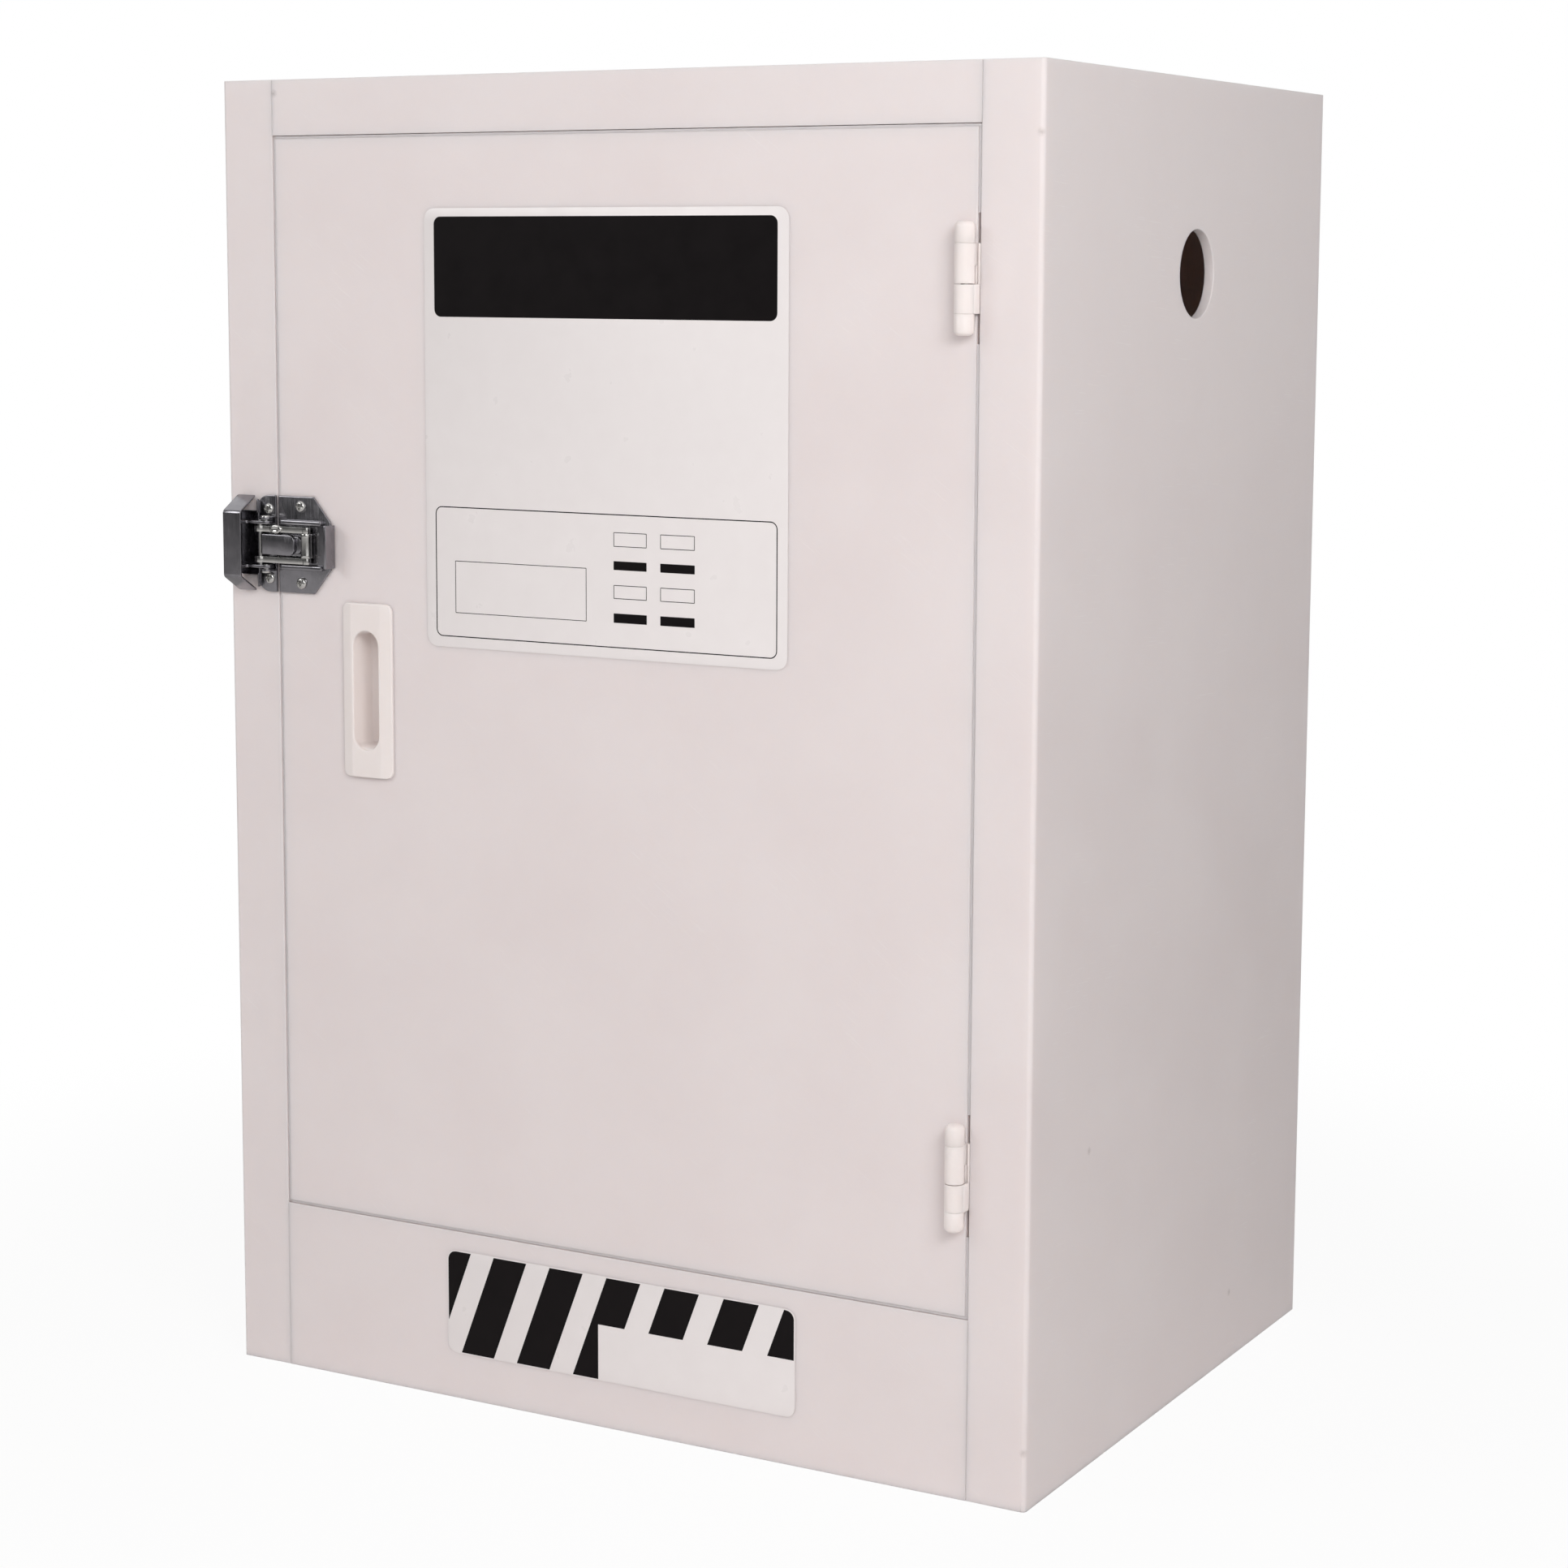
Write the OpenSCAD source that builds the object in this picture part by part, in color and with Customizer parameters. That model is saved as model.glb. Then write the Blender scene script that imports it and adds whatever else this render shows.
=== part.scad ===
// Chemical storage cabinet: welded polypropylene sheet, one side-hung door on
// barrel hinges, a steel over-centre draw latch, a lipped shelf and a spill tray.
// Millimetres. +Z is up, the door faces -Y, and the origin is the centre of the
// underside.

/* [Cabinet] */
// Overall width of the cabinet
body_w = 610; // [520:5:800]
// Overall depth of the cabinet, without the latch
body_d = 470; // [380:5:650]
// Overall height of the cabinet
body_h = 890; // [800:5:1200]
// Thickness of the cabinet's sheets
wall_t = 7; // [5:0.5:9]
// Outer radius of the bend between each side and its front stile
bend_r = 3; // [1:0.5:5]
// Width of each front stile
stile_w = 41; // [38:1:60]
// Height of the front rail above the door
top_rail_h = 37; // [25:1:60]
// Height of the front rail below the door
bottom_rail_h = 117; // [95:1:150]

/* [Vent] */
// Diameter of the vent hole in the right side
vent_d = 58; // [30:1:90]
// Vent centre, back from the front face
vent_from_front = 241; // [120:1:300]
// Vent centre, down from the top
vent_from_top = 126; // [80:1:200]

/* [Door] */
// Gap all round the door
door_gap = 2; // [2:0.25:3]
// Thickness of the door's outer sheet
door_face_t = 8; // [6:0.5:12]
// Thickness of the stiffening bars inside the door
door_bar_t = 14; // [12:0.5:20]
// Thickness of the door's inner sheet
door_back_t = 6; // [4:0.5:10]
// Width of the stiffening bars
door_bar_w = 40; // [25:1:50]
// Space between the closed door and its stops
stop_clear = 1.5; // [1:0.25:4]
// How far the stops reach in past the opening
stop_overlap = 15; // [8:1:25]
// Thickness of the stops
stop_t = 7; // [5:0.5:10]

/* [Hinges] */
// Overall height of each hinge, with its caps
hinge_h = 68; // [60:1:90]
// Diameter of the hinge barrel
hinge_d = 12.4; // [10:0.2:14]
// Distance from each end of the door to its hinge
hinge_inset = 56; // [50:1:120]
// Distance of the hinge axis in from the door's edge
hinge_axis_in = 5; // [4:0.25:5.5]
// Height of the cap at each end of a barrel
hinge_cap_h = 13; // [8:0.5:14]
// Corner radius round the outer end of a cap
hinge_cap_r = 3.1; // [1:0.1:4.5]
// Height of the knuckle that turns with the door
hinge_door_knuckle_h = 24; // [15:0.5:25]
// Height of the web between that knuckle and its leaf
hinge_web_h = 13.2; // [8:0.2:14]
// Gap between the two knuckles
hinge_gap = 0.5; // [0.4:0.1:0.8]
// Thickness of the hinge leaves
hinge_leaf_t = 1.4; // [1:0.1:1.6]
// How far the leaves reach back into the door gap
hinge_leaf_d = 24; // [12:1:26]
// Diameter of the hinge pin
hinge_pin_d = 5; // [3:0.5:6]

/* [Handle] */
// Width of the handle plate
handle_w = 40; // [36:1:60]
// Height of the handle plate
handle_h = 118; // [110:1:160]
// How far the plate's middle band stands out
handle_out = 4; // [3:0.5:8]
// How far the plate's long edges stand out
handle_edge_out = 2; // [1:0.25:3]
// Width of the plate's flat middle band
handle_band_w = 24; // [22:1:34]
// Corner radius of the handle plate
handle_corner_r = 5; // [2:0.5:10]
// Width of the finger slot
slot_w = 20.5; // [16:0.5:22]
// Height of the finger slot
slot_h = 81; // [60:1:84]
// How much shorter the finger cup is than the slot
cup_short = 5; // [2:0.5:8]
// Depth of the finger cup behind the door's face
cup_depth = 17; // [12:1:19]
// Wall thickness of the finger cup
cup_wall = 2; // [1.5:0.25:3]
// Handle centre, in from the door's free edge
handle_from_edge = 73; // [70:1:120]
// Handle centre, above the door's lower edge
handle_from_bottom = 364; // [250:1:380]

/* [Latch] */
// Latch centre, above the door's lower edge
latch_from_bottom = 460; // [458:1:480]
// Height of the two latch plates
latch_h = 66; // [62:1:80]
// Thickness of the latch plates
latch_plate_t = 2; // [1.5:0.25:2.25]
// Width of the plate on the stile
latch_base_w = 16; // [15:0.5:20]
// Width of the keeper plate on the door
keeper_w = 43.5; // [42:0.5:60]
// Thickness of the lever's bent sheet
lever_t = 1.5; // [1:0.25:2]
// How far the lever's grip stands out
lever_out = 19.5; // [18:0.5:24]
// Width of the lever's grip
lever_w = 15; // [12:0.5:16]
// Reach of the lever from its pivot to the far side of the grip
lever_reach = 28; // [26:0.5:31]
// Height of the lever's front face
lever_face_h = 45; // [42:1:52]
// Lever pivot, in from the middle of the door gap
pivot_in = 5; // [5:0.25:6]
// Lever pivot, out from the cabinet's face
pivot_out = 8; // [7.5:0.25:9]
// Diameter of the pivot rivets
rivet_d = 4; // [3:0.25:5]
// Crank of the link pivot, inwards from the lever pivot
crank_in = 6; // [5.5:0.25:7]
// Crank of the link pivot, back from the lever pivot
crank_back = 1.5; // [1:0.1:1.6]
// Thickness of the link's two arms, along the bar between them
link_arm_t = 4; // [2:0.25:4.5]
// Depth of the link's arms, out from the face
link_arm_w = 3.6; // [3:0.2:4.6]
// Diameter of the bar between the arms
link_bar_d = 3.2; // [2.4:0.2:4]
// Length of the link between its pivot and its roller
link_l = 39; // [37:0.5:41]
// Diameter of the link's pivot pin
link_pin_d = 3; // [2:0.25:3.5]
// Diameter of the roller on the link
roller_d = 8.2; // [7:0.1:8.4]
// Height of the keeper's nose
nose_h = 13; // [8:0.5:14]
// How far the nose stands out
nose_out = 9.5; // [8:0.25:10]
// How far the step at the nose's end stands back from its front
nose_step = 2.5; // [1:0.25:3]
// How far the keeper's two ridges stand out
ridge_out = 6; // [4:0.25:8]
// Thickness of the keeper's ridges
ridge_t = 3.5; // [2:0.25:4]
// How far the tab at the keeper's end stands out
tab_out = 12; // [8:0.5:16]
// Height of the tab
tab_h = 29; // [20:1:31]
// Thickness of the tab
tab_t = 2; // [1:0.25:3]
// Head diameter of the latch screws
screw_head_d = 8; // [6:0.25:8.5]
// Height of the latch screws' domed heads
screw_head_h = 2.6; // [2:0.2:3]
// Thread diameter of the latch screws
screw_d = 4.5; // [3:0.25:5]
// Length of the latch screws below the head
screw_l = 7.5; // [6:0.5:8]
// Keeper screws, in from the keeper's far side
keeper_screw_in = 24.2; // [20:0.2:26]
// Keeper screws, in from the keeper's top and bottom edges
keeper_screw_edge = 7; // [6:0.25:8]

/* [Shelf and tray] */
// Height of the ledges' top faces above the floor
shelf_z = 440; // [300:5:520]
// Thickness of the shelf
shelf_t = 8; // [5:0.5:12]
// Height of the lip round the shelf, with the shelf's thickness
shelf_lip_h = 28; // [18:1:45]
// Width of each ledge
ledge_w = 20; // [14:1:30]
// Height of each ledge
ledge_h = 10; // [8:0.5:16]
// Wall thickness of the tray and of the shelf's lip
tray_wall = 4; // [3:0.25:6]
// Thickness of the tray's floor
tray_floor_t = 5; // [3:0.5:8]
// Height of the tray
tray_h = 70; // [40:1:85]

/* [Labels] */
// Thickness of the label film
film_t = 0.3; // [0.2:0.05:0.5]
// Corner radius of the labels
label_r = 6; // [2:0.5:10]
// Width of the label on the door
door_label_w = 274; // [180:1:290]
// Height of the label on the door
door_label_h = 288; // [150:1:300]
// Space above the label on the door
door_label_drop = 46.5; // [20:0.5:70]
// Middle of the label, to the right of the door's middle
door_label_x = -3.5; // [-10:0.5:10]
// Width of the striped label on the lower rail
stripe_label_w = 270; // [180:1:320]
// Height of the striped label
stripe_label_h = 72; // [40:1:76]
// Space below the striped label
stripe_label_z = 32; // [20:1:38]
// Middle of the striped label, to the right of the cabinet's middle
stripe_label_x = 6; // [-20:0.5:20]

/* [Hidden] */
$fn = 64;

// Colours
pp_colour = [0.88, 0.85, 0.83];
pp_inner_colour = [0.84, 0.81, 0.78];
hinge_colour = [0.93, 0.91, 0.89];
steel_colour = [0.62, 0.64, 0.66];
bright_colour = [0.75, 0.77, 0.79];
film_colour = [0.94, 0.94, 0.93];

// Running clearance of a pin or rivet in the piece that turns on it
fit = 0.05;
// Clearance round the finger cup in the door's pocket
cup_fit = 0.3;
// Least space between pieces that move past each other
clear = 0.4;
// Overlap that carries a cut past a face
eps = 1;

// Opening and door
front_y = -body_d / 2;
opening_x = body_w / 2 - stile_w;
opening_top = body_h - top_rail_h;
door_t = door_face_t + door_bar_t + door_back_t;
door_w = 2 * (opening_x - door_gap);
door_bottom = bottom_rail_h + door_gap;
door_h = opening_top - bottom_rail_h - 2 * door_gap;
door_top = door_bottom + door_h;
return_d = door_t + stop_clear;
inside_x = body_w / 2 - wall_t;
inside_y = front_y + return_d + stop_t;
inside_back_y = body_d / 2 - wall_t;
inside_top = body_h - wall_t;
stop_x = opening_x - stop_overlap;

// Hinges
hinge_x = door_w / 2 - hinge_axis_in;
hinge_out = hinge_d / 2 + clear;
hinge_z = [door_bottom + hinge_inset, door_top - hinge_inset - hinge_h];
frame_knuckle_h = hinge_h - 2 * hinge_cap_h - hinge_door_knuckle_h - hinge_gap;
leaf_h = hinge_h - 2 * hinge_cap_h;
door_knuckle_z = hinge_cap_h + frame_knuckle_h + hinge_gap;

// Handle
handle_x = -door_w / 2 + handle_from_edge;
handle_z = door_bottom + handle_from_bottom;
cup_in_h = slot_h - cup_short;

// Latch, measured from the middle of the door gap
latch_x = -(opening_x - door_gap / 2);
latch_z = door_bottom + latch_from_bottom;
nose_side_clear = 2;
nose_inset = 1;
nose_corner_r = 3;
nose_step_l = 4;
link_side_clear = 1.5;
link_half = nose_h / 2 + nose_side_clear + link_arm_t / 2;
link_outer = link_half + link_arm_t / 2;
lever_cheek_t = 2;
lever_cheek_in = link_outer + link_side_clear;
cheek_rim = 2.5;
cheek_r = rivet_d / 2 + cheek_rim;
ear_t = 1.5;
ear_side_clear = 1;
ear_rim = 2;
ear_in = lever_cheek_in + lever_cheek_t + ear_side_clear;
ear_r = rivet_d / 2 + ear_rim;
rivet_head_rim = 1.5;
rivet_head_d = rivet_d + 2 * rivet_head_rim;
rivet_head_h = 1.2;
eye_rim = 2.3;
eye_d = link_pin_d + 2 * eye_rim;
link_end_rim = 1.2;
link_end_d = link_bar_d + 2 * link_end_rim;
link_x = -pivot_in - crank_in;
link_out = pivot_out - crank_back;
roller_x = link_x + link_l;
roller_rest_gap = 0.5;
nose_end = roller_x - roller_d / 2 - roller_rest_gap;
nose_start = door_gap / 2 + nose_inset;
lever_left = -pivot_in - lever_reach;
lever_right = lever_left + lever_w;
lever_foot_out = latch_plate_t + clear;
lever_face_half = lever_face_h / 2;
lever_foot_half = latch_h / 2;
lever_slope = (lever_foot_half - lever_face_half) / (lever_out - lever_foot_out);
keeper_right = door_gap / 2 + keeper_w;
tab_shoulder = 1.5;
keeper_chamfer_x = 14;
keeper_chamfer_z = latch_h / 2 - tab_h / 2 - tab_shoulder;
ridge_side_clear = 1;
ridge_inset = 4;
ridge_end_inset = 5;
ridge_in = link_outer + ridge_side_clear;
ridge_start = door_gap / 2 + ridge_inset;
ridge_end = keeper_right - ridge_end_inset;
base_corner_r = 10;
base_tongue_h = 44;
base_tongue_inset = 1;
screw_side_clear = 1;
base_screw_back = 1.5;
base_screw_x = -pivot_in - base_screw_back;
base_screw_z = ear_in + ear_t + screw_head_d / 2 + screw_side_clear;
keeper_screw_x = keeper_right - keeper_screw_in;
keeper_screw_z = latch_h / 2 - keeper_screw_edge;

// Shelf and tray
shelf_side_gap = 6;
shelf_front_gap = 8;
ledge_end_gap = 25;
rest_gap = 0.3;
tray_gap = 3;

// Rounded rectangle centred on the origin
module rounded_rect(w, h, r) {
    square([w - 2 * r, h], center = true);
    square([w, h - 2 * r], center = true);
    for (sx = [-1, 1], sy = [-1, 1])
        translate([sx * (w / 2 - r), sy * (h / 2 - r)]) circle(r);
}

// Box between two corners
module span(low, high) {
    translate(low) cube(high - low);
}

// Turns a drawing of the front view so that its third axis points out of the face
module on_face(x, z) {
    translate([x, front_y, z]) rotate([90, 0, 0]) children();
}

// ---- Cabinet ----

// Plan of the right-hand side: side sheet, stile and the stile's return
module side_plan() {
    difference() {
        union() {
            translate([inside_x, front_y]) square([wall_t, body_d]);
            translate([opening_x, front_y]) square([stile_w, wall_t]);
            translate([opening_x, front_y]) square([wall_t, return_d]);
        }
        translate([body_w / 2 - bend_r, front_y])
            difference() {
                translate([0, -eps]) square([bend_r + eps, bend_r + eps]);
                translate([0, bend_r]) circle(bend_r);
            }
    }
}

module side_panel_right() color(pp_colour)
    difference() {
        linear_extrude(body_h) side_plan();
        translate([inside_x - eps, front_y + vent_from_front, body_h - vent_from_top])
            rotate([0, 90, 0]) cylinder(d = vent_d, h = wall_t + 2 * eps);
    }

module side_panel_left() color(pp_colour)
    difference() {
        mirror([1, 0, 0]) linear_extrude(body_h) side_plan();
        for (s = [-1, 1])
            on_face(latch_x + base_screw_x, latch_z + s * base_screw_z)
                translate([0, 0, -wall_t - eps])
                    cylinder(d = screw_d, h = wall_t + 2 * eps);
    }

// Sheet between the sides, notched round the returns of the stiles
module flat_panel(low_z) {
    difference() {
        span([-inside_x, front_y + wall_t, low_z], [inside_x, body_d / 2, low_z + wall_t]);
        for (side = [0, 1]) mirror([side, 0, 0])
            span([opening_x, front_y, low_z - eps],
                 [opening_x + wall_t, front_y + return_d, low_z + wall_t + eps]);
    }
}

module top_panel() color(pp_colour) flat_panel(inside_top);
module base_panel() color(pp_colour) flat_panel(0);

module back_panel() color(pp_colour)
    span([-inside_x, inside_back_y, wall_t], [inside_x, body_d / 2, inside_top]);

module top_rail() color(pp_colour) {
    span([-opening_x, front_y, opening_top], [opening_x, front_y + wall_t, body_h]);
    span([-opening_x, front_y + wall_t / 2, opening_top],
         [opening_x, front_y + return_d, opening_top + wall_t]);
}

module bottom_rail() color(pp_colour) {
    span([-opening_x, front_y, 0], [opening_x, front_y + wall_t, bottom_rail_h]);
    span([-opening_x, front_y + wall_t / 2, bottom_rail_h - wall_t],
         [opening_x, front_y + return_d, bottom_rail_h]);
}

// Strip behind one edge of the opening, which the closed door meets
module stop_strip(low_x, high_x, low_z, high_z) {
    span([low_x, front_y + return_d, low_z], [high_x, inside_y, high_z]);
}

module door_stop_left() color(pp_inner_colour)
    stop_strip(-inside_x, -stop_x, wall_t, inside_top);

module door_stop_right() color(pp_inner_colour)
    stop_strip(stop_x, inside_x, wall_t, inside_top);

module door_stop_top() color(pp_inner_colour)
    stop_strip(-stop_x, stop_x, opening_top - stop_overlap, inside_top);

module spill_dam() color(pp_inner_colour)
    stop_strip(-stop_x, stop_x, wall_t, bottom_rail_h + stop_overlap);

module shelf_ledge(side) {
    x = side * (inside_x - ledge_w / 2);
    span([x - ledge_w / 2, inside_y + ledge_end_gap, shelf_z - ledge_h],
         [x + ledge_w / 2, inside_back_y - ledge_end_gap, shelf_z]);
}

module shelf_ledge_left() color(pp_inner_colour) shelf_ledge(-1);
module shelf_ledge_right() color(pp_inner_colour) shelf_ledge(1);

// ---- Hinges ----

// Moves to a hinge: axis at the origin, lower end at z = 0
module at_hinge(i) {
    translate([hinge_x, front_y - hinge_out, hinge_z[i]]) children();
}

// Space of the pin and of the clearance round it
module pin_space(bore_d) {
    translate([0, 0, -eps]) cylinder(d = bore_d, h = hinge_h + 2 * eps);
}

module frame_leaf(i) {
    edge = opening_x - hinge_x;
    at_hinge(i) difference() {
        union() {
            translate([0, 0, hinge_cap_h]) cylinder(d = hinge_d, h = frame_knuckle_h);
            span([0, -hinge_leaf_t / 2, hinge_cap_h],
                 [edge, hinge_leaf_t / 2, hinge_cap_h + frame_knuckle_h]);
            span([edge - hinge_leaf_t, -hinge_leaf_t / 2, hinge_cap_h],
                 [edge, hinge_out + eps, hinge_cap_h + frame_knuckle_h]);
            span([edge - hinge_leaf_t, hinge_out, hinge_cap_h],
                 [edge, hinge_out + hinge_leaf_d, hinge_cap_h + leaf_h]);
        }
        pin_space(hinge_pin_d);
    }
}

// Leaf let into the door's edge, flush with it
module door_leaf(i) {
    at_hinge(i) difference() {
        union() {
            translate([0, 0, door_knuckle_z]) cylinder(d = hinge_d, h = hinge_door_knuckle_h);
            span([hinge_axis_in - hinge_leaf_t, 0, hinge_cap_h + leaf_h - hinge_web_h],
                 [hinge_axis_in, hinge_out + eps, hinge_cap_h + leaf_h]);
            span([hinge_axis_in - hinge_leaf_t, hinge_out, hinge_cap_h],
                 [hinge_axis_in, hinge_out + hinge_leaf_d, hinge_cap_h + leaf_h]);
        }
        pin_space(hinge_pin_d + 2 * fit);
    }
}

// Recess in the door's edge for a leaf
module leaf_recess(i) {
    at_hinge(i)
        span([hinge_axis_in - hinge_leaf_t, hinge_out - eps, hinge_cap_h],
             [hinge_axis_in + eps, hinge_out + hinge_leaf_d, hinge_cap_h + leaf_h]);
}

module hinge_pin(i) {
    at_hinge(i) translate([0, 0, hinge_cap_h])
        cylinder(d = hinge_pin_d, h = leaf_h - clear);
}

// Plan of a cap from the axis out, with a quarter-round at its outer end
module cap_profile() {
    r = hinge_d / 2;
    square([r - hinge_cap_r, hinge_cap_h]);
    square([r, hinge_cap_h - hinge_cap_r]);
    intersection() {
        translate([r - hinge_cap_r, hinge_cap_h - hinge_cap_r]) circle(hinge_cap_r);
        square([r, hinge_cap_h]);
    }
}

module hinge_cap() {
    rotate_extrude() cap_profile();
}

module hinge_upper_frame_leaf() color(hinge_colour) frame_leaf(1);
module hinge_lower_frame_leaf() color(hinge_colour) frame_leaf(0);
module hinge_upper_door_leaf() color(hinge_colour) door_leaf(1);
module hinge_lower_door_leaf() color(hinge_colour) door_leaf(0);
module hinge_upper_pin() color(bright_colour) hinge_pin(1);
module hinge_lower_pin() color(bright_colour) hinge_pin(0);

module hinge_bottom_caps() color(hinge_colour)
    for (i = [0, 1]) at_hinge(i)
        translate([0, 0, hinge_cap_h]) mirror([0, 0, 1]) hinge_cap();

module hinge_top_caps() color(hinge_colour)
    for (i = [0, 1]) at_hinge(i)
        translate([0, 0, hinge_h - hinge_cap_h]) hinge_cap();

// ---- Door ----

module door_slab(low_y, high_y) {
    span([-door_w / 2, front_y + low_y, door_bottom], [door_w / 2, front_y + high_y, door_top]);
}

// Bar between the door's two sheets, given in the front view
module door_bar(low_x, high_x, low_z, high_z) {
    span([low_x, front_y + door_face_t, low_z],
         [high_x, front_y + door_face_t + door_bar_t, high_z]);
}

module door_outer_sheet() color(pp_colour)
    difference() {
        door_slab(0, door_face_t);
        on_face(handle_x, handle_z) translate([0, 0, -door_face_t - eps])
            linear_extrude(door_face_t + 2 * eps)
                cup_outline(cup_wall + cup_fit);
        for (i = [0, 1]) leaf_recess(i);
        for (s = [-1, 1])
            on_face(latch_x + keeper_screw_x, latch_z + s * keeper_screw_z)
                translate([0, 0, -door_face_t - eps]) cylinder(d = screw_d, h = door_face_t + 2 * eps);
    }

module door_bar_left() color(pp_inner_colour)
    door_bar(-door_w / 2, -door_w / 2 + door_bar_w, door_bottom, door_top);

module door_bar_right() color(pp_inner_colour)
    difference() {
        door_bar(door_w / 2 - door_bar_w, door_w / 2, door_bottom, door_top);
        for (i = [0, 1]) leaf_recess(i);
    }

module cross_bar(low_z) {
    door_bar(-door_w / 2 + door_bar_w, door_w / 2 - door_bar_w, low_z, low_z + door_bar_w);
}

module door_bar_top() color(pp_inner_colour) cross_bar(door_top - door_bar_w);
module door_bar_bottom() color(pp_inner_colour) cross_bar(door_bottom);
module door_bar_cross_lower() color(pp_inner_colour) cross_bar(door_bottom + door_h / 4 - door_bar_w / 2);
module door_bar_cross_upper() color(pp_inner_colour) cross_bar(door_top - door_h / 4 - door_bar_w / 2);

module door_inner_sheet() color(pp_colour)
    difference() {
        door_slab(door_t - door_back_t, door_t);
        for (i = [0, 1]) leaf_recess(i);
    }

// Section of the handle plate: flat middle band and bevelled long sides
module handle_section() {
    polygon([
        [-handle_w / 2, 0], [handle_w / 2, 0],
        [handle_w / 2, handle_edge_out], [handle_band_w / 2, handle_out],
        [-handle_band_w / 2, handle_out], [-handle_w / 2, handle_edge_out]
    ]);
}

// Outline of the finger cup's hollow, grown by a wall
module cup_outline(wall) {
    square([slot_w + 2 * wall, cup_in_h + 2 * wall], center = true);
}

module finger_slot() {
    square([slot_w, slot_h - slot_w], center = true);
    for (s = [-1, 1]) translate([0, s * (slot_h - slot_w) / 2]) circle(d = slot_w);
}

module handle_plate() color(hinge_colour)
    on_face(handle_x, handle_z) difference() {
        union() {
            intersection() {
                translate([0, handle_h / 2, 0]) rotate([90, 0, 0])
                    linear_extrude(handle_h) handle_section();
                linear_extrude(handle_out + eps)
                    rounded_rect(handle_w, handle_h, handle_corner_r);
            }
            translate([0, 0, -cup_depth - cup_wall])
                linear_extrude(cup_depth + cup_wall) cup_outline(cup_wall);
        }
        linear_extrude(handle_out + eps) finger_slot();
        translate([0, 0, -cup_depth])
            linear_extrude(cup_depth + handle_edge_out / 2) cup_outline(0);
    }

// ---- Latch ----

module at_latch() {
    on_face(latch_x, latch_z) children();
}

// Cylinder whose axis stands upright in the front view, between two heights
module upright(x, out, d, low, high) {
    translate([x, low, out]) rotate([-90, 0, 0]) cylinder(d = d, h = high - low);
}

// Screw with a domed head and a cross recess, its seat at z = 0
module dome_screw() {
    dome_r = (pow(screw_head_d / 2, 2) + pow(screw_head_h, 2)) / (2 * screw_head_h);
    recess_w = screw_head_d / 8;
    recess_l = screw_head_d / 2;
    difference() {
        intersection() {
            translate([0, 0, screw_head_h - dome_r]) sphere(dome_r);
            cylinder(d = screw_head_d, h = screw_head_h + eps);
        }
        for (a = [0, 90]) rotate(a)
            translate([-recess_l / 2, -recess_w / 2, screw_head_h / 2])
                cube([recess_l, recess_w, screw_head_h]);
    }
    translate([0, 0, -screw_l]) cylinder(d = screw_d, h = screw_l);
}

module screw_holes(x, z) {
    for (s = [-1, 1]) translate([x, s * z, -eps])
        cylinder(d = screw_d + 2 * clear, h = latch_plate_t + 2 * eps);
}

// Plate on the stile, rounded at its left corners and straight along the door gap
module base_plate_outline() {
    right = -door_gap / 2;
    intersection() {
        translate([right, 0]) rounded_rect(2 * latch_base_w, latch_h, base_corner_r);
        translate([right - latch_base_w, -latch_h / 2]) square([latch_base_w, latch_h]);
    }
    tongue_left = lever_left + base_tongue_inset;
    translate([tongue_left, -base_tongue_h / 2])
        square([right - base_corner_r - tongue_left, base_tongue_h]);
}

// The plate with two ears that carry the lever
module latch_base_plate() color(steel_colour)
    at_latch() difference() {
        union() {
            linear_extrude(latch_plate_t) base_plate_outline();
            for (low = [ear_in, -ear_in - ear_t]) {
                translate([-pivot_in - ear_r, low, 0]) cube([2 * ear_r, ear_t, pivot_out]);
                upright(-pivot_in, pivot_out, 2 * ear_r, low, low + ear_t);
            }
        }
        screw_holes(base_screw_x, base_screw_z);
        upright(-pivot_in, pivot_out, rivet_d, -latch_h, latch_h);
    }

module latch_pivot_rivets() color(bright_colour)
    at_latch() for (s = [0, 1]) mirror([0, s, 0]) {
        upright(-pivot_in, pivot_out, rivet_d, lever_cheek_in - clear, ear_in + ear_t + eps);
        upright(-pivot_in, pivot_out, rivet_head_d, ear_in + ear_t, ear_in + ear_t + rivet_head_h);
    }

module latch_base_screws() color(bright_colour)
    at_latch() for (s = [-1, 1])
        translate([base_screw_x, s * base_screw_z, latch_plate_t]) dome_screw();

// Half-width of the grip's section at a height out from the face, for walls set
// in by a thickness measured square to their slant
function grip_half(out, inset) =
    lever_foot_half - (out - lever_foot_out) * lever_slope
    - inset * sqrt(1 + lever_slope * lever_slope);

// Section of the lever's grip in the plane square to the stile: a flat front
// and two cheeks that slant out to the plate. The inner section runs on past
// the foot, so that the grip is open there.
module grip_section(inset) {
    low = lever_foot_out - (inset > 0 ? eps : 0);
    high = lever_out - inset;
    low_half = grip_half(low, inset);
    high_half = grip_half(high, inset);
    polygon([[-low_half, low], [low_half, low], [high_half, high], [-high_half, high]]);
}

// Solid with the grip section, between two places across the stile
module grip_block(low_x, high_x, inset) {
    translate([low_x, 0, 0]) rotate([90, 0, 90]) linear_extrude(high_x - low_x) grip_section(inset);
}

// Side plate of the lever, from the grip to the rivet
module lever_cheek_plan() {
    foot = lever_foot_out + clear;
    polygon([
        [-pivot_in, pivot_out + cheek_r], [lever_right, pivot_out + cheek_r],
        [lever_right, lever_out - lever_t / 2], [lever_left + lever_t / 2, lever_out - lever_t / 2],
        [lever_left + lever_t / 2, foot], [-pivot_in, foot]
    ]);
    translate([-pivot_in, pivot_out]) circle(cheek_r);
}

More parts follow.
